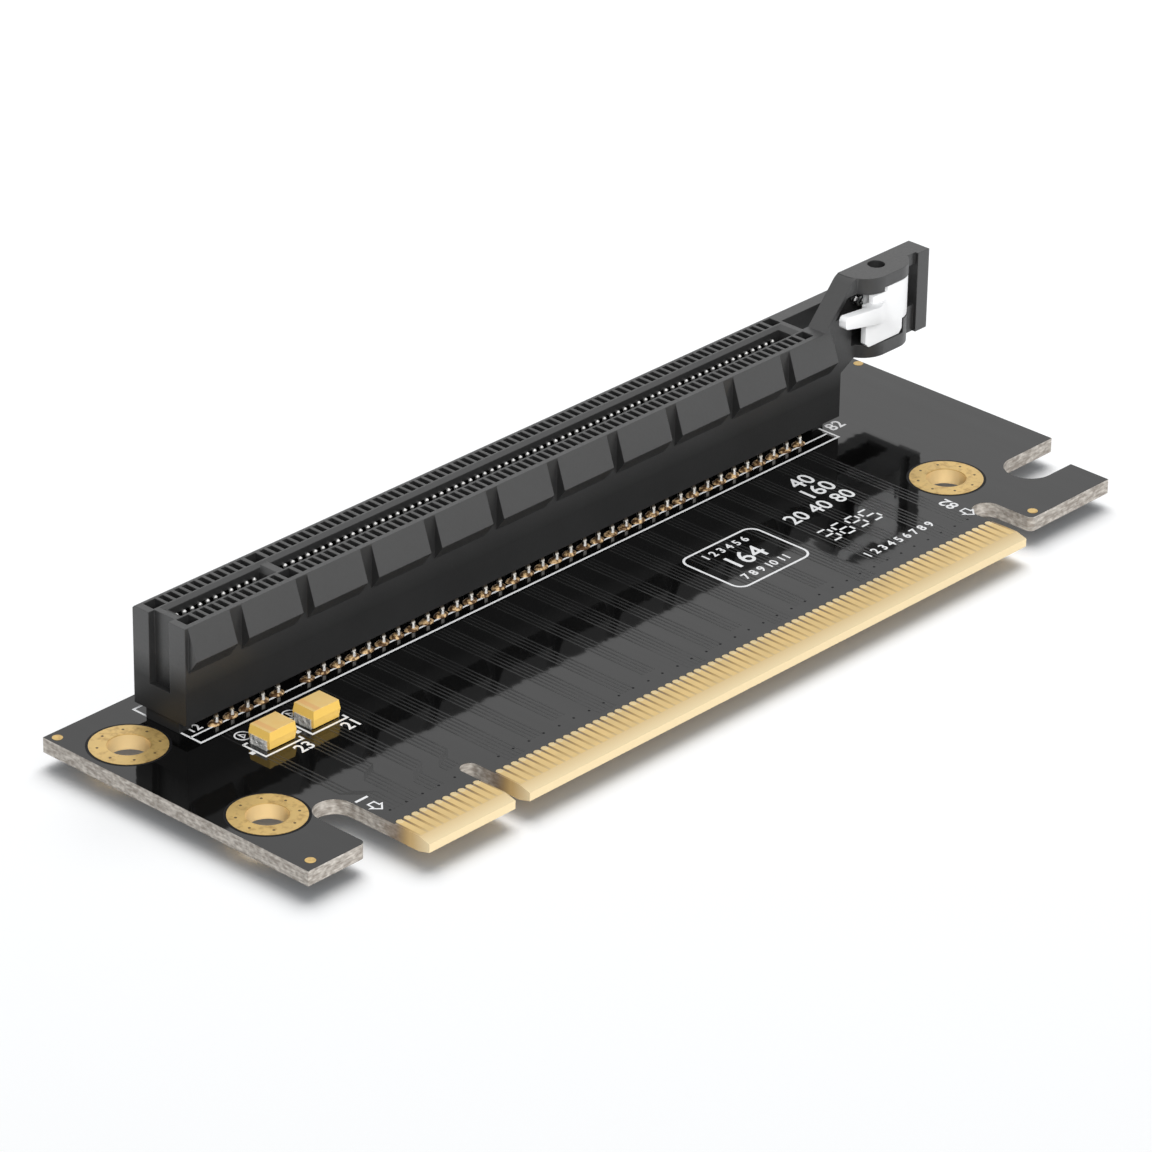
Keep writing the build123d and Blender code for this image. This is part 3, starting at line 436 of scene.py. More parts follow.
def moulded_finish(name, colour, roughness, pebble, depth, specular=0.5, edge=0.0, foot_shade_specular=None):
    """Plastic with a fine skin; pebble is the texture's scale per metre, edge a rounding in metres.
    The foot value is the lower gloss near the board, painted shade, which rises to specular at FULL_GLOSS_Z."""
    finish, made, links, shader = new_finish(name)
    skin = noise(made, links, pebble)
    cloudy = between(made, links, noise(made, links, 160.0, 2.0), 0.3, 0.7)
    paler = tuple(min(1.0, 1.18 * c) for c in colour)
    links.new(mixed(made, links, cloudy, colour, paler), shader.inputs["Base Color"])
    rough = between(made, links, skin, 0.3, 0.7, roughness - 0.05, roughness + 0.05)
    links.new(rough, shader.inputs["Roughness"])
    shader.inputs["Specular IOR Level"].default_value = specular
    if foot_shade_specular is not None:
        # Painted shade: the gloss drops towards the board, so the foot of the housing reads darker.
        _, _, z = own_axes(made, links)
        gloss = by_z(made, links, z, FULL_GLOSS_Z - GLOSS_FADE, FULL_GLOSS_Z, foot_shade_specular, specular)
        links.new(gloss, shader.inputs["Specular IOR Level"])
    rounded = None
    if edge > 0.0:
        soft = made.new("ShaderNodeBevel")
        soft.inputs["Radius"].default_value = edge
        rounded = soft.outputs["Normal"]
    bump(made, links, shader, skin, 0.35, depth, rounded)
    return finish


HOUSING_BLACK = moulded_finish(
    "housing_black", HOUSING_GREY, 0.40, 3800.0, 0.02 * MM, specular=0.92, edge=0.14 * MM, foot_shade_specular=0.24
)
LEVER_WHITE = moulded_finish("lever_white", LEVER_GREY, 0.42, 1500.0, 0.01 * MM)
print("plastic finishes ready")

# %% [markdown]
# ### Metals of the contacts, spring and terminals
# Steel and tin are bright and a little streaky from drawing and stamping, and faint streaks suit
# solder too. The end tabs of the capacitors look crinkled in the photograph, which a strong bump
# shows well enough at this size. The pads are brown with golden glints, painted as patches. The
# contact strips are bright at the tail and the tip, and painted near black between: painted shade,
# where they sit in the dark of the housing.

# %% Metal finishes
DRAWN_STRETCH = (1.0, 1.0, 0.15)
DRAWN_SCALE = 2600.0


def metal_finish(name, colour, roughness, metallic=1.0, crinkle=0.0):
    """Bare metal; crinkle is the scale per metre of creases pressed into it."""
    finish, made, links, shader = new_finish(name)
    streaks = noise(made, links, DRAWN_SCALE, 2.0, DRAWN_STRETCH)
    darker = tuple(0.8 * c for c in colour)
    streaked = mixed(made, links, between(made, links, streaks, 0.35, 0.65), darker, colour)
    links.new(streaked, shader.inputs["Base Color"])
    rough = between(made, links, streaks, 0.3, 0.7, roughness - 0.08, roughness + 0.08)
    links.new(rough, shader.inputs["Roughness"])
    shader.inputs["Metallic"].default_value = metallic
    if crinkle > 0.0:
        bump(made, links, shader, noise(made, links, crinkle, 4.0), 1.0, 0.35 * MM)
    return finish


TIP_WHITE = metal_finish("contact_tip", (1.0, 0.99, 0.97), 0.17, metallic=0.8)
STEEL = metal_finish("spring_steel", (0.80, 0.80, 0.80), 0.25)
TERMINAL_TIN = metal_finish("terminal_tin", (0.86, 0.85, 0.82), 0.36, metallic=0.6, crinkle=1900.0)
SOLDER = metal_finish("solder", (1.0, 0.97, 0.93), 0.24, metallic=0.5)
print("metal finishes ready")

# %% Pad finish
PAD_BROWN = (0.10, 0.05, 0.02)
# Painted highlight: the golden patches are painted glints.
PAD_PAINTED_GLINT = (0.85, 0.58, 0.30)


def pad_finish():
    """Copper with solder run over it: dark brown, with golden glints painted in as patches."""
    finish, made, links, shader = new_finish("wetted_pad")
    patchy = between(made, links, noise(made, links, 2300.0), 0.46, 0.62)
    links.new(mixed(made, links, patchy, PAD_BROWN, PAD_PAINTED_GLINT), shader.inputs["Base Color"])
    shader.inputs["Roughness"].default_value = 0.38
    shader.inputs["Metallic"].default_value = 0.5
    return finish


WETTED_PAD = pad_finish()
print("pad finish ready")

# %% Contact finish
# Painted shade: the middle of each strip is painted near black, where it sits in the dark housing.
CONTACT_PAINTED_SHADE = (0.05, 0.04, 0.03)
TIN_DULL, TIN_BRIGHT = (0.63, 0.60, 0.55), (0.90, 0.86, 0.78)
TAIL_FADE_Z = (0.80, 0.95)
TIP_FADE_Z = (9.8, 10.0)


def contact_finish():
    """Tinned tail and bright spring end; the middle, inside the housing, is painted near black as shade."""
    finish, made, links, shader = new_finish("contact_strip")
    _, _, z = own_axes(made, links)
    above_tail = by_z(made, links, z, *TAIL_FADE_Z)
    below_tip = by_z(made, links, z, *TIP_FADE_Z, 1.0, 0.0)
    shaded_middle_share = arithmetic(made, links, "MULTIPLY", above_tail, below_tip)
    streaks = between(made, links, noise(made, links, DRAWN_SCALE, 2.0, DRAWN_STRETCH), 0.35, 0.65)
    tinned = mixed(made, links, streaks, TIN_DULL, TIN_BRIGHT)
    links.new(mixed(made, links, shaded_middle_share, tinned, CONTACT_PAINTED_SHADE), shader.inputs["Base Color"])
    shader.inputs["Roughness"].default_value = 0.28
    shader.inputs["Metallic"].default_value = 1.0
    return finish


CONTACT_STRIP = contact_finish()
print("contact finish ready")

# %% [markdown]
# ### Capacitors
# The two chip capacitors are moulded in yellow epoxy. Their tops are painted a shade paler than
# the sides, a painted sheen, and a faint reddish bar marks the plus end. The bar is ink of no
# thickness, so it is colour in the shader and not a piece of its own.

# %% Capacitor finish
CAPACITOR_CENTRES = (2.5, 8.2)
BAR_REACH = 1.0
BAR_HALF, BAR_BORDER = 0.22 * MM, 0.42 * MM
BAR_STRENGTH = 0.45
EPOXY_TOP_Z = (1.84, 1.895)
EPOXY_SIDE = (1.0, 0.65, 0.15)
EPOXY_TOP_SHEEN, EPOXY_TOP_SHEEN_PALE = (0.99, 0.66, 0.24), (1.0, 0.72, 0.30)
BAR_RED = (0.92, 0.42, 0.17)


def capacitor_finish():
    finish, made, links, shader = new_finish("capacitor_epoxy")
    x, _, z = own_axes(made, links)
    cloudy = between(made, links, noise(made, links, 700.0), 0.3, 0.7)
    warm = mixed(made, links, cloudy, EPOXY_TOP_SHEEN, EPOXY_TOP_SHEEN_PALE)
    for centre in CAPACITOR_CENTRES:
        aside = arithmetic(made, links, "SUBTRACT", x, at(centre - BAR_REACH, 0, 0).x)
        near = arithmetic(made, links, "ABSOLUTE", aside)
        share = between(made, links, near, BAR_HALF, BAR_BORDER, BAR_STRENGTH, 0.0)
        warm = mixed(made, links, share, warm, BAR_RED)
    # Painted sheen: the tops are paler than the sides.
    top = by_z(made, links, z, *EPOXY_TOP_Z)
    links.new(mixed(made, links, top, EPOXY_SIDE, warm), shader.inputs["Base Color"])
    shader.inputs["Roughness"].default_value = 0.34
    bump(made, links, shader, noise(made, links, 4200.0, 2.0), 0.2, 0.01 * MM)
    return finish


CAPACITOR_EPOXY = capacitor_finish()
print("capacitor finish ready")

# %% [markdown]
# ## Finishes on the CAD solids
# The solids keep their shape. Each gets the finish of its real material in its one slot. The
# choice goes by the start of a solid's name, so a new row of contacts would be dressed too.

# %% Dress the CAD solids
FINISH_BY_START = [
    ("circuit_board", BOARD_FINISH),
    ("edge_fingers", FINGER_GOLD),
    ("plated_holes", HOLE_GOLD),
    ("slot_housing", HOUSING_BLACK),
    ("contacts", CONTACT_STRIP),
    ("latch_lever", LEVER_WHITE),
    ("latch", STEEL),
]


def finish_for(name):
    for start, finish in FINISH_BY_START:
        if name.startswith(start):
            return finish
    return CAPACITOR_EPOXY if name.endswith("body") else TERMINAL_TIN


for name, node in nodes.items():
    node.data.materials.clear()
    node.data.materials.append(finish_for(name))
print("dressed", len(nodes), "solids")

# %% [markdown]
# ## Making loose pieces
# Printed lines and tracks are closed little slabs, so they also hold up as meshes of their own.
# A painted mask could show them on the board, but it would need an image, and slabs stay sharp.
# These helpers collect slabs in one bmesh and turn it into a piece that rides on the card.

# %% Helpers for pieces
def settle(name, mesh, finish, body="card"):
    """An object for a mesh: named, dressed and riding on a body."""
    piece = new_object(name, mesh)
    mesh.materials.clear()
    mesh.materials.append(finish)
    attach(piece, body)
    print(name, "faces", len(mesh.polygons))
    return piece


def piece_from(name, mesh_maker, finish):
    """A piece of the card from a maker that fills a bmesh."""
    mesh = bpy.data.meshes.new(name)
    shape = bmesh.new()
    mesh_maker(shape)
    bmesh.ops.recalc_face_normals(shape, faces=shape.faces)
    shape.to_mesh(mesh)
    shape.free()
    return settle(name, mesh, finish)


# %% Slabs and strokes
def slab(shape, outline, z0, z1):
    """Closed flat slab from an outline of (x, y) points in card millimetres."""
    low = [shape.verts.new(at(x, y, z0)) for x, y in outline]
    high = [shape.verts.new(at(x, y, z1)) for x, y in outline]
    shape.faces.new(low[::-1])
    shape.faces.new(high)
    count = len(outline)
    for i in range(count):
        j = (i + 1) % count
        shape.faces.new((low[i], low[j], high[j], high[i]))


def offsets(points, half, closed):
    """Left and right borders of a line of the given half width, mitred at its corners."""
    left, right = [], []
    count = len(points)
    for i, point in enumerate(points):
        here = Vector(point)
        before = Vector(points[i - 1]) if (closed or i > 0) else None
        after = Vector(points[(i + 1) % count]) if (closed or i < count - 1) else None
        ways = []
        if before is not None:
            ways.append((here - before).normalized())
        if after is not None:
            ways.append((after - here).normalized())
        way = sum(ways, Vector((0.0, 0.0))).normalized()
        side = Vector((-way.y, way.x))
        first = Vector((-ways[0].y, ways[0].x))
        reach = half / max(0.3, side.dot(first))
        left.append(here + side * reach)
        right.append(here - side * reach)
    return left, right


def stroke(shape, points, width, z0, z1, closed=False):
    """Closed ribbon slab along a line of (x, y) points."""
    left, right = offsets(points, width / 2, closed)
    count = len(points)
    rows = []
    for k in range(count):
        rows.append([shape.verts.new(at(p.x, p.y, z)) for p in (left[k], right[k]) for z in (z0, z1)])
    last = count if closed else count - 1
    for k in range(last):
        a, b = rows[k], rows[(k + 1) % count]
        shape.faces.new((a[1], b[1], b[3], a[3]))
        shape.faces.new((a[0], a[2], b[2], b[0]))
        shape.faces.new((a[0], b[0], b[1], a[1]))
        shape.faces.new((a[2], a[3], b[3], b[2]))
    if not closed:
        shape.faces.new((rows[0][0], rows[0][1], rows[0][3], rows[0][2]))
        shape.faces.new((rows[-1][0], rows[-1][2], rows[-1][3], rows[-1][1]))


def ring_points(x, y, radius, count=28, start=0.0, turn=360.0):
    """Points on a circle or on an arc of it."""
    whole = turn >= 360.0
    steps = count if whole else count - 1
    angles = [math.radians(start + turn * i / steps) for i in range(count)]
    return [(x + radius * math.cos(a), y + radius * math.sin(a)) for a in angles]


# %% [markdown]
# ## Soft edges on the white lever
# A mould leaves no knife edge. On a white part that shows most, because each rounded edge catches
# a line of light. The housing's shading trick would do from afar, but the lever is seen close, so
# it gets a copy with small real rounds in place of the solid. The copy is merged and cleaned of
# needless edges first.

# %% Lever with soft edges
LEVER_ROUND = 0.10 * MM
ROUND_STEPS = 3
ROUND_FROM_DEG, SHARP_FROM_DEG = 32, 35


def final_mesh(thing):
    """The mesh of an object with its modifiers applied."""
    bpy.context.view_layer.update()
    return bpy.data.meshes.new_from_object(thing.evaluated_get(bpy.context.evaluated_depsgraph_get()))


def cleaned_copy(node):
    mesh = node.data.copy()
    mesh.transform(node.matrix_world)
    shape = bmesh.new()
    shape.from_mesh(mesh)
    bmesh.ops.remove_doubles(shape, verts=shape.verts, dist=1e-6)
    bmesh.ops.dissolve_limit(shape, angle_limit=math.radians(0.5), verts=shape.verts, edges=shape.edges)
    shape.to_mesh(mesh)
    shape.free()
    return mesh


def softened(node, name, finish, body, width):
    """A copy of a CAD node with rounded edges, which stands for it."""
    holder = new_object(name + "_work", cleaned_copy(node))
    rounding = holder.modifiers.new("rounding", "BEVEL")
    rounding.width = width
    rounding.segments = ROUND_STEPS
    rounding.limit_method = "ANGLE"
    rounding.angle_limit = math.radians(ROUND_FROM_DEG)
    mesh = final_mesh(holder)
    holder.modifiers.remove(rounding)
    bpy.data.objects.remove(holder)
    mesh.shade_smooth()
    mesh.set_sharp_from_angle(angle=math.radians(SHARP_FROM_DEG))
    piece = settle(name, mesh, finish, body)
    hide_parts(node.name)
    return piece


softened(nodes["latch_lever"], "lever_soft", LEVER_WHITE, "latch", LEVER_ROUND)

# %% [markdown]
# ## Printed lines
# The white print is a thin ink layer on the mask: the outline of the slot, corner brackets round the
# capacitors, a circle and a square that mark their plus ends, an arrow at each end of the tongue and
# a rounded frame. Where a board carries words or marks there are plain numbers here.

# %% Ink finish
INK_LOW, INK_HIGH = 0.0, 0.012
INK_THIN, INK_FULL = (0.92, 0.92, 0.92), (1.0, 1.0, 1.0)


def ink_finish():
    finish, made, links, shader = new_finish("white_ink")
    patchy = between(made, links, noise(made, links, 2400.0), 0.3, 0.6)
    links.new(mixed(made, links, patchy, INK_THIN, INK_FULL), shader.inputs["Base Color"])
    shader.inputs["Roughness"].default_value = 0.6
    return finish


WHITE_INK = ink_finish()
print("ink is", INK_HIGH - INK_LOW, "mm thick")

# %% Places of the printed outlines
LINE, FRAME_LINE, INNER_LINE_WIDTH = 0.24, 0.25, 0.20
ARROW_LINE, CIRCLE_LINE, TRIANGLE_LINE = 0.17, 0.16, 0.14
SLOT_LEFT, SLOT_RIGHT, SLOT_FRONT, SLOT_REAR = -2.5, 87.2, 27.68, 36.77
INNER_LINE = [(SLOT_LEFT, 29.12), (86.9, 29.0)]
BRACKETS = [
    [(-0.1, 24.6), (-0.1, 21.55), (4.7, 21.55), (4.7, 22.15)],
    [(-0.1, 24.6), (0.5, 24.6)],
    [(5.85, 24.5), (5.85, 21.5), (10.4, 21.5), (10.4, 22.15)],
    [(5.85, 24.5), (6.4, 24.5)],
]
PLUS_SQUARES = [(-0.52, 22.9), (5.22, 22.8)]
PLUS_CIRCLES = [(1.13, 25.9), (7.1, 25.7)]
SQUARE_HALF, CIRCLE_RADIUS = 0.25, 0.78
TRIANGLE = [(-0.2, -0.4), (-0.2, 0.4), (0.3, 0.0)]
ARROW = [(0.0, -0.75), (0.72, 0.0), (0.4, 0.0), (0.4, 0.7), (-0.4, 0.7), (-0.4, 0.0), (-0.72, 0.0)]
ARROW_PLACES = [(0.54, 7.9), (83.5, 7.4)]
FRAME_X, FRAME_Y, FRAME_RADIUS = (55.3, 65.9), (12.5, 20.7), 1.2
print("brackets:", len(BRACKETS), "arrows:", len(ARROW_PLACES))


# %% Printed outlines
def ink_line(shape, points, width=LINE, closed=False):
    stroke(shape, points, width, INK_LOW, INK_HIGH, closed)


def moved(points, x, y):
    return [(x + px, y + py) for px, py in points]


def slot_outline(shape):
    front = [(SLOT_LEFT, SLOT_FRONT), (SLOT_RIGHT, SLOT_FRONT)]
    rear = [(SLOT_RIGHT, SLOT_REAR), (SLOT_LEFT, SLOT_REAR)]
    ink_line(shape, front + rear, closed=True)
    ink_line(shape, INNER_LINE, INNER_LINE_WIDTH)


def capacitor_marks(shape):
    for bracket in BRACKETS:
        ink_line(shape, bracket)
    half = SQUARE_HALF
    square = [(-half, -half), (half, -half), (half, half), (-half, half)]
    for x, y in PLUS_SQUARES:
        slab(shape, moved(square, x, y), INK_LOW, INK_HIGH)
    for x, y in PLUS_CIRCLES:
        ink_line(shape, ring_points(x, y, CIRCLE_RADIUS), CIRCLE_LINE, closed=True)
        ink_line(shape, moved(TRIANGLE, x, y), TRIANGLE_LINE, closed=True)


def rounded_frame(shape):
    (x0, x1), (y0, y1) = FRAME_X, FRAME_Y
    left, right = x0 + FRAME_RADIUS, x1 - FRAME_RADIUS
    front, rear = y0 + FRAME_RADIUS, y1 - FRAME_RADIUS
    points = []
    for cx, cy, start in ((right, rear, 0), (left, rear, 90), (left, front, 180), (right, front, 270)):
        points += ring_points(cx, cy, FRAME_RADIUS, 7, start, 90.0)
    ink_line(shape, points, FRAME_LINE, closed=True)


def printed_marks(shape):
    slot_outline(shape)
    capacitor_marks(shape)
    for x, y in ARROW_PLACES:
        ink_line(shape, moved(ARROW, x, y), ARROW_LINE, closed=True)
    rounded_frame(shape)


piece_from("printed_lines", printed_marks, WHITE_INK)

# %% [markdown]
# ### Printed numbers
# The numbers are Blender text turned into meshes, so that they are real ink slabs like the lines.
# Each entry gives the text, its height, its middle and its turn on the board.

# %% Printed numbers
INK_SPREAD = 0.03
NUMBERS = [
    ("1", 2.2, 0.54, 9.7, 90.0),
    ("82", 2.0, 83.5, 9.9, 90.0),
    ("23", 2.0, 3.7, 20.3, 0.0),
    ("21", 2.0, 9.8, 20.3, 0.0),
    ("12", 1.6, -1.1, 30.1, 0.0),
    ("82", 2.1, 88.9, 29.6, 0.0),
    ("40", 2.9, 76.9, 23.6, 0.0),
    ("160", 2.9, 76.6, 21.2, 0.0),
    ("20 40 80", 2.7, 74.0, 18.6, 0.0),
    ("1 2 3 4 5 6 7 8 9", 1.5, 74.1, 8.4, 0.0),
    ("164", 3.4, 60.6, 16.6, 0.0),
    ("1 2 3 4 5 6", 1.45, 60.6, 19.3, 0.0),
    ("7 8 9 10 11", 1.45, 60.6, 13.9, 0.0),
]


def number_mesh(text, size):
    """Flat digits of the built-in font as a mesh, centred, in millimetres."""
    curve = bpy.data.curves.new("digits", "FONT")
    curve.body = text
    curve.size = size
    curve.align_x = "CENTER"
    curve.align_y = "CENTER"
    curve.extrude = (INK_HIGH - INK_LOW) / 2
    curve.offset = INK_SPREAD
    curve.resolution_u = 3
    holder = new_object("digits", curve)
    mesh = final_mesh(holder)
    bpy.data.objects.remove(holder)
    return mesh


def printed_numbers(shape):
    lift = Matrix.Translation((0.0, 0.0, (INK_LOW + INK_HIGH) / 2))
    for text, size, x, y, turn in NUMBERS:
        mesh = number_mesh(text, size)
        turned_up = Matrix.Rotation(math.radians(turn), 4, "Z")
        mesh.transform(Matrix.Translation(at(x, y, 0)) @ Matrix.Scale(MM, 4) @ lift @ turned_up)
        shape.from_mesh(mesh)
        bpy.data.meshes.remove(mesh)


piece_from("printed_numbers", printed_numbers, WHITE_INK)

# %% [markdown]
# ### Dashed digits
# One number is made of short dashes, like the display of a pocket calculator. Seven dashes in
# fixed places make any digit, so a digit is a choice of dashes. No font is needed for that.

# %% Dashed digits
STAMP = "3695"
SEGMENTS = {"3": "abcdg", "5": "acdfg", "6": "acdefg", "9": "abcdfg"}
STAMP_X, STAMP_Y = 69.3, 12.8
DIGIT_WIDE, DIGIT_HIGH, DIGIT_STEP = 1.45, 2.3, 2.05
DASH_GAP = 0.22


def dashed_digit(shape, digit, x, y):
    """A digit of up to seven dashes, with its lower left corner at (x, y)."""
    gap, middle_y, top = DASH_GAP, y + DIGIT_HIGH / 2, y + DIGIT_HIGH
    right = x + DIGIT_WIDE
    ends = {
        "a": ((x + gap, top), (right - gap, top)),
        "b": ((right, middle_y + gap), (right, top - gap)),
        "c": ((right, y + gap), (right, middle_y - gap)),
        "d": ((x + gap, y), (right - gap, y)),
        "e": ((x, y + gap), (x, middle_y - gap)),
        "f": ((x, middle_y + gap), (x, top - gap)),
        "g": ((x + gap, middle_y), (right - gap, middle_y)),
    }
    for segment in SEGMENTS[digit]:
        ink_line(shape, list(ends[segment]), LINE)


def dashed_digits(shape):
    for k, digit in enumerate(STAMP):
        dashed_digit(shape, digit, STAMP_X + DIGIT_STEP * k, STAMP_Y)


piece_from("dashed_digits", dashed_digits, WHITE_INK)

# %% [markdown]
# ## Copper tracks under the lacquer
# Each pair of contacts is joined to its fingers by fine copper tracks. The lacquer runs over them,
# so they only show as faint raised lines that mirror the surroundings less sharply than the flat
# board. They run straight back from the tongue, and those at the left have a slanted step. Bump
# could draw them too, but their edges would blur in a mirror, so they are thin slabs.

# %% Tracks
TRACK_WIDTH, TRACK_PITCH, TRACK_HIGH = 0.20, 0.52, 0.008
TRACK_END_Y = 27.3
TRACK_DARK, TRACK_PALE = (0.010, 0.010, 0.010), (0.020, 0.020, 0.020)
BUNDLE_FIRST_X, BUNDLE_STEP, BUNDLE_COUNT = 15.2, 4.13, 17
BUNDLE_FRONT_Y, FRONT_STAGGER = 5.3, 1.1
STEPPED_BUNDLES = [
    (1.4, 3, -1.6, 10.2, 6.4),
    (3.2, 4, 1.0, 12.0, 6.4),
    (6.2, 4, 1.4, 8.6, 6.4),
    (9.8, 4, 1.2, 8.9, 7.9),
]


def track_finish():
    finish, made, links, shader = new_finish("covered_track")
    uneven = noise(made, links, 300.0, 2.0)
    links.new(mixed(made, links, uneven, TRACK_DARK, TRACK_PALE), shader.inputs["Base Color"])
    links.new(between(made, links, uneven, 0.3, 0.7, 0.22, 0.34), shader.inputs["Roughness"])
    return finish


def track_bundle(shape, x, lines, step, knee_y, front_y):
    """Parallel tracks from the fingers to the slot, with a slanted step at knee_y."""
    for k in range(lines):
        side = x + TRACK_PITCH * k
        knee = knee_y + 0.4 * TRACK_PITCH * k * (1 if step > 0 else -1)
        path = [(side, front_y), (side, knee), (side + step, knee + abs(step)), (side + step, TRACK_END_Y)]
        if step == 0:
            path = [path[0], path[-1]]
        stroke(shape, path, TRACK_WIDTH, 0.0, TRACK_HIGH)


def tracks(shape):
    for bundle in STEPPED_BUNDLES:
        track_bundle(shape, *bundle)
    for k in range(BUNDLE_COUNT):
        lines = 4 if k % 3 else 5
        front_y = BUNDLE_FRONT_Y + FRONT_STAGGER * (k % 3)
        track_bundle(shape, BUNDLE_FIRST_X + BUNDLE_STEP * k, lines, 0.0, 0.0, front_y)


piece_from("tracks", tracks, track_finish())

# %% [markdown]
# ## Solder joints, made by Geometry Nodes
# Every contact tail stands in a pad, and the solder climbs the tail as a little cone. One joint is
# the same as the next, so copying by hand would be dull and slow to change. Instead a pad and a
# fillet are turned from a short profile, and a node tree sets one on each point of a row and makes
# the copies real. Above the board only the outer rows need them, since the housing hides the rest.

# %% A turned profile
def turned(shape, x, y, profile, sides, leans=None):
    """Solid of revolution about an upright axis, from (radius, z) points, closed at both ends.
    Leans move each ring along y, for a stem that bends."""
    rings = []
    for k, (radius, z) in enumerate(profile):
        centre_y = y + (leans[k] if leans else 0.0)
        circle = ring_points(x, centre_y, max(radius, 0.001), sides)
        rings.append([shape.verts.new(at(px, py, z)) for px, py in circle])
    for low, high in zip(rings, rings[1:]):
        for i in range(sides):
            j = (i + 1) % sides
            shape.faces.new((low[i], low[j], high[j], high[i]))
    shape.faces.new(rings[0][::-1])
    shape.faces.new(rings[-1])


def hidden_pattern(name, mesh_maker, finish):
    """A pattern object for the node trees: one joint at the origin of the card's millimetres."""
    mesh = bpy.data.meshes.new(name)
    shape = bmesh.new()
    mesh_maker(shape)
    bmesh.ops.translate(shape, vec=-at(0, 0, 0), verts=shape.verts)
    bmesh.ops.recalc_face_normals(shape, faces=shape.faces)
    shape.to_mesh(mesh)
    shape.free()
    mesh.materials.append(finish)
    return new_object(name, mesh)


# %% The row tree
ROW_INPUTS = [("Places", "Geometry"), ("Pattern", "Object"), ("Size", "Float"), ("Turn wobble", "Float")]
WOBBLE_SEED = 7


def row_tree(name, finish):
    """Node tree: an instance of a pattern on every vertex, realised and painted."""
    tree = bpy.data.node_groups.new(name, "GeometryNodeTree")
    for label, kind in ROW_INPUTS:
        tree.interface.new_socket(label, in_out="INPUT", socket_type="NodeSocket" + kind)
    tree.interface.new_socket("Made", in_out="OUTPUT", socket_type="NodeSocketGeometry")
    enter = tree.nodes.new("NodeGroupInput")
    leave = tree.nodes.new("NodeGroupOutput")
    points = tree.nodes.new("GeometryNodeMeshToPoints")
    pattern = tree.nodes.new("GeometryNodeObjectInfo")
    spread = tree.nodes.new("GeometryNodeInstanceOnPoints")
    wobble = tree.nodes.new("FunctionNodeRandomValue")
    wobble.data_type = "FLOAT"
    wobble.inputs["Seed"].default_value = WOBBLE_SEED
    turn = tree.nodes.new("ShaderNodeCombineXYZ")
    real = tree.nodes.new("GeometryNodeRealizeInstances")
    paint = tree.nodes.new("GeometryNodeSetMaterial")
    paint.inputs["Material"].default_value = finish
    link = tree.links.new
    link(enter.outputs["Places"], points.inputs["Mesh"])
    link(enter.outputs["Pattern"], pattern.inputs["Object"])
    link(points.outputs["Points"], spread.inputs["Points"])
    link(pattern.outputs["Geometry"], spread.inputs["Instance"])
    link(enter.outputs["Size"], spread.inputs["Scale"])
    link(enter.outputs["Turn wobble"], wobble.inputs["Max"])
    link(wobble.outputs["Value"], turn.inputs["Z"])
    link(turn.outputs["Vector"], spread.inputs["Rotation"])
    link(spread.outputs["Instances"], real.inputs["Geometry"])
    link(real.outputs["Geometry"], paint.inputs["Geometry"])
    link(paint.outputs["Geometry"], leave.inputs["Made"])
    return tree


def set_input(modifier, tree, label, value):
    for item in tree.interface.items_tree:
        if item.item_type == "SOCKET" and item.in_out == "INPUT" and item.name == label:
            modifier[item.identifier] = value


# %% Rows of a pattern
FULL_TURN = 6.28


def set_out_rows(name, places, pattern_maker, finish, wobble=0.0):
    """A piece made of one pattern on many places, through the row tree."""
    pattern = hidden_pattern(name + "_pattern", pattern_maker, finish)
    spots = bpy.data.meshes.new(name + "_places")
    spots.from_pydata([at(*place) for place in places], [], [])
    holder = new_object(name + "_places", spots)
    tree = row_tree(name + "_rows", finish)
    rows = holder.modifiers.new("rows", "NODES")
    rows.node_group = tree
    set_input(rows, tree, "Pattern", pattern)
    set_input(rows, tree, "Size", 1.0)
    set_input(rows, tree, "Turn wobble", wobble)
    mesh = final_mesh(holder)
    holder.modifiers.remove(rows)
    bpy.data.objects.remove(holder)
    bpy.data.objects.remove(pattern)
    return settle(name, mesh, finish)


# %% Solder joints
OUTER_REACH, INNER_REACH = 3.25, 1.25
OUTER_X = FIRST_BANK[1::2] + SECOND_BANK[0::2]
INNER_X = FIRST_BANK[0::2] + SECOND_BANK[1::2]
PAD_PROFILE = [(0.80, 0.0), (0.76, 0.08), (0.60, 0.20), (0.34, 0.30)]
PAD_WIDE, PAD_DEEP, PAD_SHIFT = 1.08, 0.74, 0.16
COAT_PROFILE = [
    (0.30, 0.05), (0.24, 0.18), (0.21, 0.40), (0.21, 0.62), (0.20, 0.80), (0.15, 0.93), (0.05, 0.99)
]
COAT_LEANS = (0.02, 0.02, 0.03, 0.06, 0.12, 0.20, 0.28)


def wetted_pad(shape, inward):
    """Pad wetted by solder: a low mound, wider along the row than across it, close to the housing."""
    turned(shape, 0, 0, PAD_PROFILE, sides=16)
    about = Matrix.Translation(-at(0, 0, 0))
    bmesh.ops.scale(shape, vec=(PAD_WIDE, PAD_DEEP, 1.0), space=about, verts=shape.verts)
    bmesh.ops.translate(shape, vec=(0.0, inward * PAD_SHIFT * MM, 0.0), verts=shape.verts)


def tail_coat(shape, inward):
    """Solder climbing the tail and bending with it towards the housing."""
    turned(shape, 0, 0, COAT_PROFILE, sides=14, leans=[inward * lean for lean in COAT_LEANS])


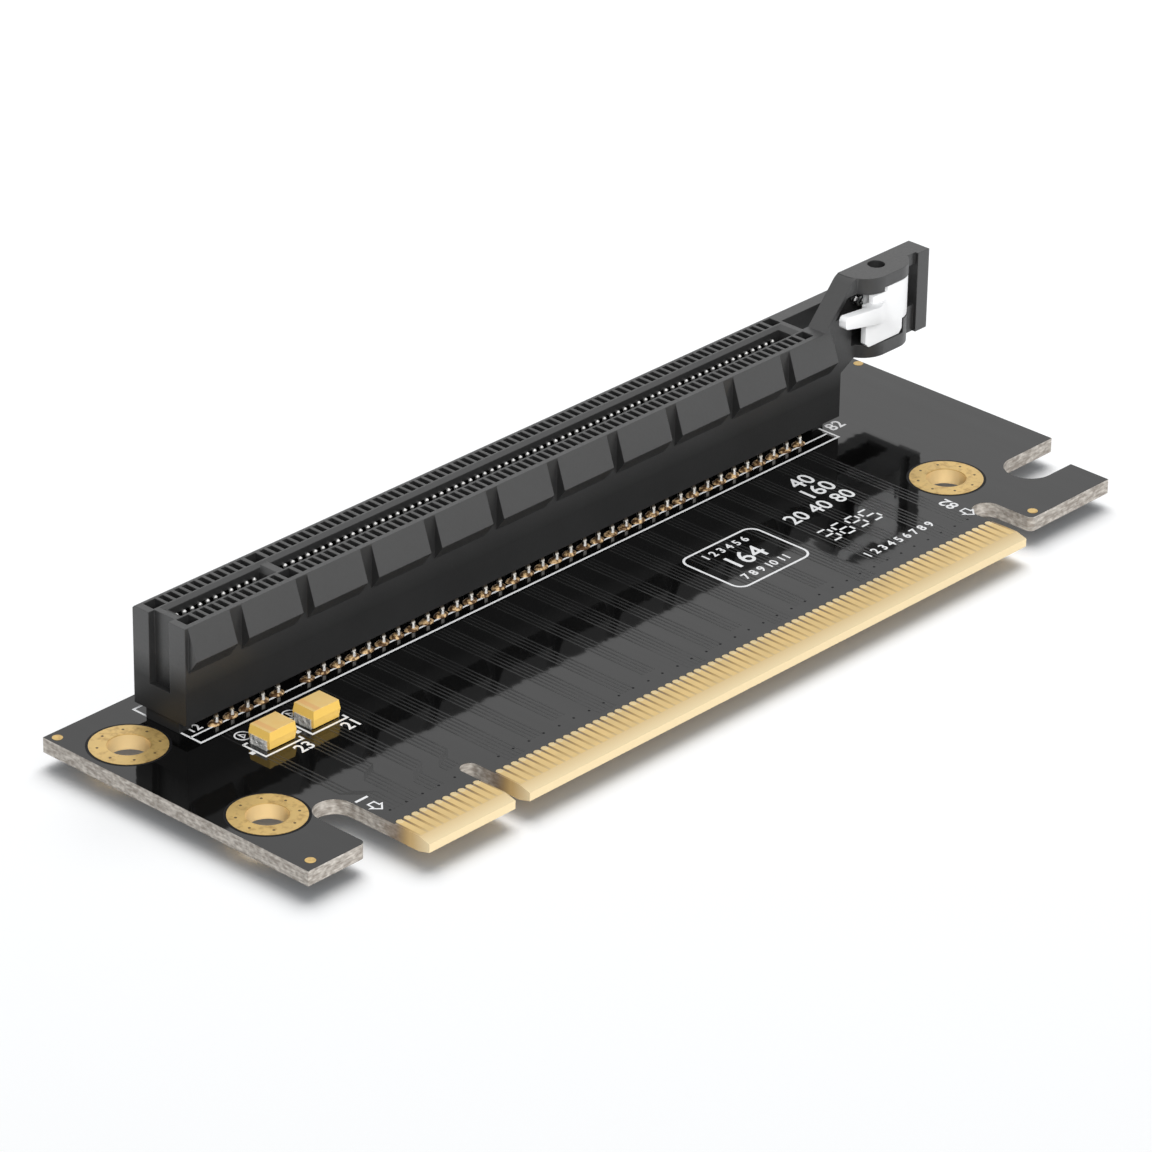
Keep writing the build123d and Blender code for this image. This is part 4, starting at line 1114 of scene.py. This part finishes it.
front_row = [(x, SLOT_Y - OUTER_REACH, 0.0) for x in OUTER_X]
rear_row = [(x, SLOT_Y + OUTER_REACH, 0.0) for x in OUTER_X]
set_out_rows("pads_front", front_row, lambda shape: wetted_pad(shape, 1), WETTED_PAD)
set_out_rows("pads_rear", rear_row, lambda shape: wetted_pad(shape, -1), WETTED_PAD)
set_out_rows("solder_front", front_row, lambda shape: tail_coat(shape, 1), SOLDER)
set_out_rows("solder_rear", rear_row, lambda shape: tail_coat(shape, -1), SOLDER)

# %% Joints under the board
UNDER_PROFILE = [(0.62, 0.0), (0.52, -0.10), (0.34, -0.30), (0.25, -0.60), (0.17, -0.95), (0.10, -1.05)]


def under_joint(shape):
    """Solder cone round a tail that comes out under the board."""
    turned(shape, 0, 0, UNDER_PROFILE, sides=12)


under = []
for reach, places in ((OUTER_REACH, OUTER_X), (INNER_REACH, INNER_X)):
    for sign in (-1, 1):
        under += [(x, SLOT_Y + sign * reach, BOARD_BOTTOM) for x in places]
set_out_rows("solder_under", under, under_joint, SOLDER, wobble=FULL_TURN)

# %% [markdown]
# ## Rounded ends of the fingers
# The lacquer's opening leaves each finger with a rounded end, which catches the light as a bright
# scallop along the lacquer's border. The solids end square there, so a low round disc is laid on
# the end of each finger. The discs wear a paler gold than the fingers, a painted highlight.

# %% Finger ends
ALL_X = FIRST_BANK + SECOND_BANK
FINGER_END_Y = 4.36
FINGER_END_PROFILE = [(0.355, 0.0), (0.355, 0.035), (0.29, 0.052), (0.1, 0.056)]
# Painted highlight: the finger ends get a paler copy of the fingers' gold.
FINGER_END_HIGHLIGHT_GOLD = gold_finish("bright_gold", (0.86, 0.68, 0.38), 0.40, 0.7)


def finger_end(shape):
    turned(shape, 0, 0, FINGER_END_PROFILE, sides=20)


finger_end_places = [(x, FINGER_END_Y, 0.0) for x in ALL_X]
set_out_rows("finger_ends", finger_end_places, finger_end, FINGER_END_HIGHLIGHT_GOLD)

# %% [markdown]
# ## Contact tips
# Each contact ends in a rounded tip that leads the card's edge in. Seen from above the slot, the
# tips are a row of bright beads in the dark. They stand in the mouth of the slot, where light
# reaches them.

# %% Contact tips
TIP_PROFILE = [(0.10, -0.26), (0.19, -0.19), (0.235, -0.05), (0.225, 0.08), (0.15, 0.19), (0.05, 0.24)]
TIP_REACH = 0.82
TIP_Z = 10.24


def tip_bead(shape):
    turned(shape, 0, 0, TIP_PROFILE, sides=14)


tips = [(x, SLOT_Y + sign * TIP_REACH, TIP_Z) for x in ALL_X for sign in (-1, 1)]
set_out_rows("contact_tips", tips, tip_bead, TIP_WHITE)

# %% [markdown]
# ## Gold dots and small vias
# Four bare gold dots help the assembly machine to find the board. Each screw ring is pierced by
# eight tiny vias, which show as dark specks, and a row of lacquered vias runs behind the fingers.
# All are low discs. A real bore as small as a via would show no more than its dark mouth, so each
# ring via is a dark disc of painted shade in place of its mouth.

# %% Dots and ring vias
DOTS = [(-11.1, 37.85, 0.0), (-10.48, 5.22, 0.0), (101.75, 37.57, 0.0), (88.22, 2.97, 0.0)]
DOT_PROFILE = [(0.52, 0.0), (0.52, 0.02), (0.49, 0.035)]
RINGS = [(-7.45, 32.15), (-7.45, 13.8), (87.75, 13.8)]
RING_VIA_REACH, RING_VIA_COUNT, RING_VIA_START = 2.95, 8, 12.0
RING_VIA_PROFILE = [(0.15, 0.0), (0.14, 0.048), (0.08, 0.044)]
# Painted shade: a dark disc where each ring via's bore would be dark inside.
VIA_MOUTH_SHADE = moulded_finish("via_dark", (0.10, 0.06, 0.02), 0.5, 3000.0, 0.01 * MM)


def gold_dot(shape):
    turned(shape, 0, 0, DOT_PROFILE, sides=28)


def ring_via(shape):
    turned(shape, 0, 0, RING_VIA_PROFILE, sides=10)


set_out_rows("alignment_dots", DOTS, gold_dot, HOLE_GOLD)
ring_vias = []
for x, y in RINGS:
    spots = ring_points(x, y, RING_VIA_REACH, RING_VIA_COUNT, RING_VIA_START)
    ring_vias += [(px, py, 0.0) for px, py in spots]
set_out_rows("ring_vias", ring_vias, ring_via, VIA_MOUTH_SHADE)

# %% Vias beside the fingers
FINGER_VIA_PROFILE = [(0.14, 0.0), (0.13, 0.012), (0.08, 0.010)]
LONG_X, LONG_STEP, LONG_Y, VIA_STAGGER = 14.9, 2.04, 6.35, 0.06
SHORT_X, SHORT_STEP, SHORT_Y = 0.9, 2.1, 6.5
VIA_BLACK = moulded_finish("lacquered_via", (0.004, 0.004, 0.005), 0.6, 3000.0, 0.01 * MM, specular=0.2)


def small_via(shape):
    """Lacquered via: a low disc, a little hollow on top."""
    turned(shape, 0, 0, FINGER_VIA_PROFILE, sides=10)


finger_vias = [(LONG_X + LONG_STEP * k, LONG_Y + VIA_STAGGER * (k % 2), 0.0) for k in range(34)]
finger_vias += [(SHORT_X + SHORT_STEP * k, SHORT_Y, 0.0) for k in range(5)]
set_out_rows("finger_vias", finger_vias, small_via, VIA_BLACK)

# %% Borders of the rings
BORDER_RADIUS, BORDER_WIDTH, BORDER_HIGH = 3.90, 0.24, 0.006


def ring_borders(shape):
    """The lacquer stops short of each screw ring, which leaves a dark line round it."""
    for x, y in RINGS:
        stroke(shape, ring_points(x, y, BORDER_RADIUS, 48), BORDER_WIDTH, 0.0, BORDER_HIGH, closed=True)


piece_from("ring_borders", ring_borders, VIA_BLACK)

# %% [markdown]
# ## Floor
# The floor is a wide pale sheet at the foot of the lowest solid. It isn't part of the card. To the
# camera it is a little lighter than the lamps make it, so that it meets the white surroundings
# without a seam and still carries the shadow.

# %% Floor
FLOOR_LIFT = 0.08
FLOOR_REACH = 1.6
FLOOR_PALE, FLOOR_PALER = (0.93, 0.93, 0.93), (0.95, 0.95, 0.95)


def floor_finish():
    finish, made, links, shader = new_finish("white_floor")
    faint = noise(made, links, 3.0, 2.0)
    links.new(mixed(made, links, faint, FLOOR_PALE, FLOOR_PALER), shader.inputs["Base Color"])
    shader.inputs["Roughness"].default_value = 0.9
    shader.inputs["Specular IOR Level"].default_value = 0.1
    path = made.new("ShaderNodeLightPath")
    seen = arithmetic(made, links, "MAXIMUM", path.outputs["Is Camera Ray"], path.outputs["Is Glossy Ray"])
    shader.inputs["Emission Color"].default_value = (1.0, 1.0, 1.0, 1.0)
    links.new(arithmetic(made, links, "MULTIPLY", seen, FLOOR_LIFT), shader.inputs["Emission Strength"])
    return finish


def lay_floor():
    far = FLOOR_REACH
    corners = [(-far, -far, 0), (far, -far, 0), (far, far, 0), (-far, far, 0)]
    mesh = bpy.data.meshes.new("floor")
    mesh.from_pydata(corners, [], [(0, 1, 2, 3)])
    mesh.materials.append(floor_finish())
    floor = new_object("floor", mesh)
    return floor


floor = lay_floor()
print("floor is", 2 * FLOOR_REACH, "m wide")


# %% Which lamp lights what
def choose_lit(lamp, thing, state):
    """INCLUDE: the lamp lights only the thing. EXCLUDE: it lights all but the thing."""
    chosen = bpy.data.collections.new("chosen_for_" + lamp.name)
    chosen.objects.link(thing)
    lamp.light_linking.receiver_collection = chosen
    chosen.collection_objects[0].light_linking.link_state = state
    print(lamp.name, state, thing.name)


choose_lit(floor_box, floor, "INCLUDE")
choose_lit(front_box, floor, "EXCLUDE")
choose_lit(rear_box, floor, "EXCLUDE")
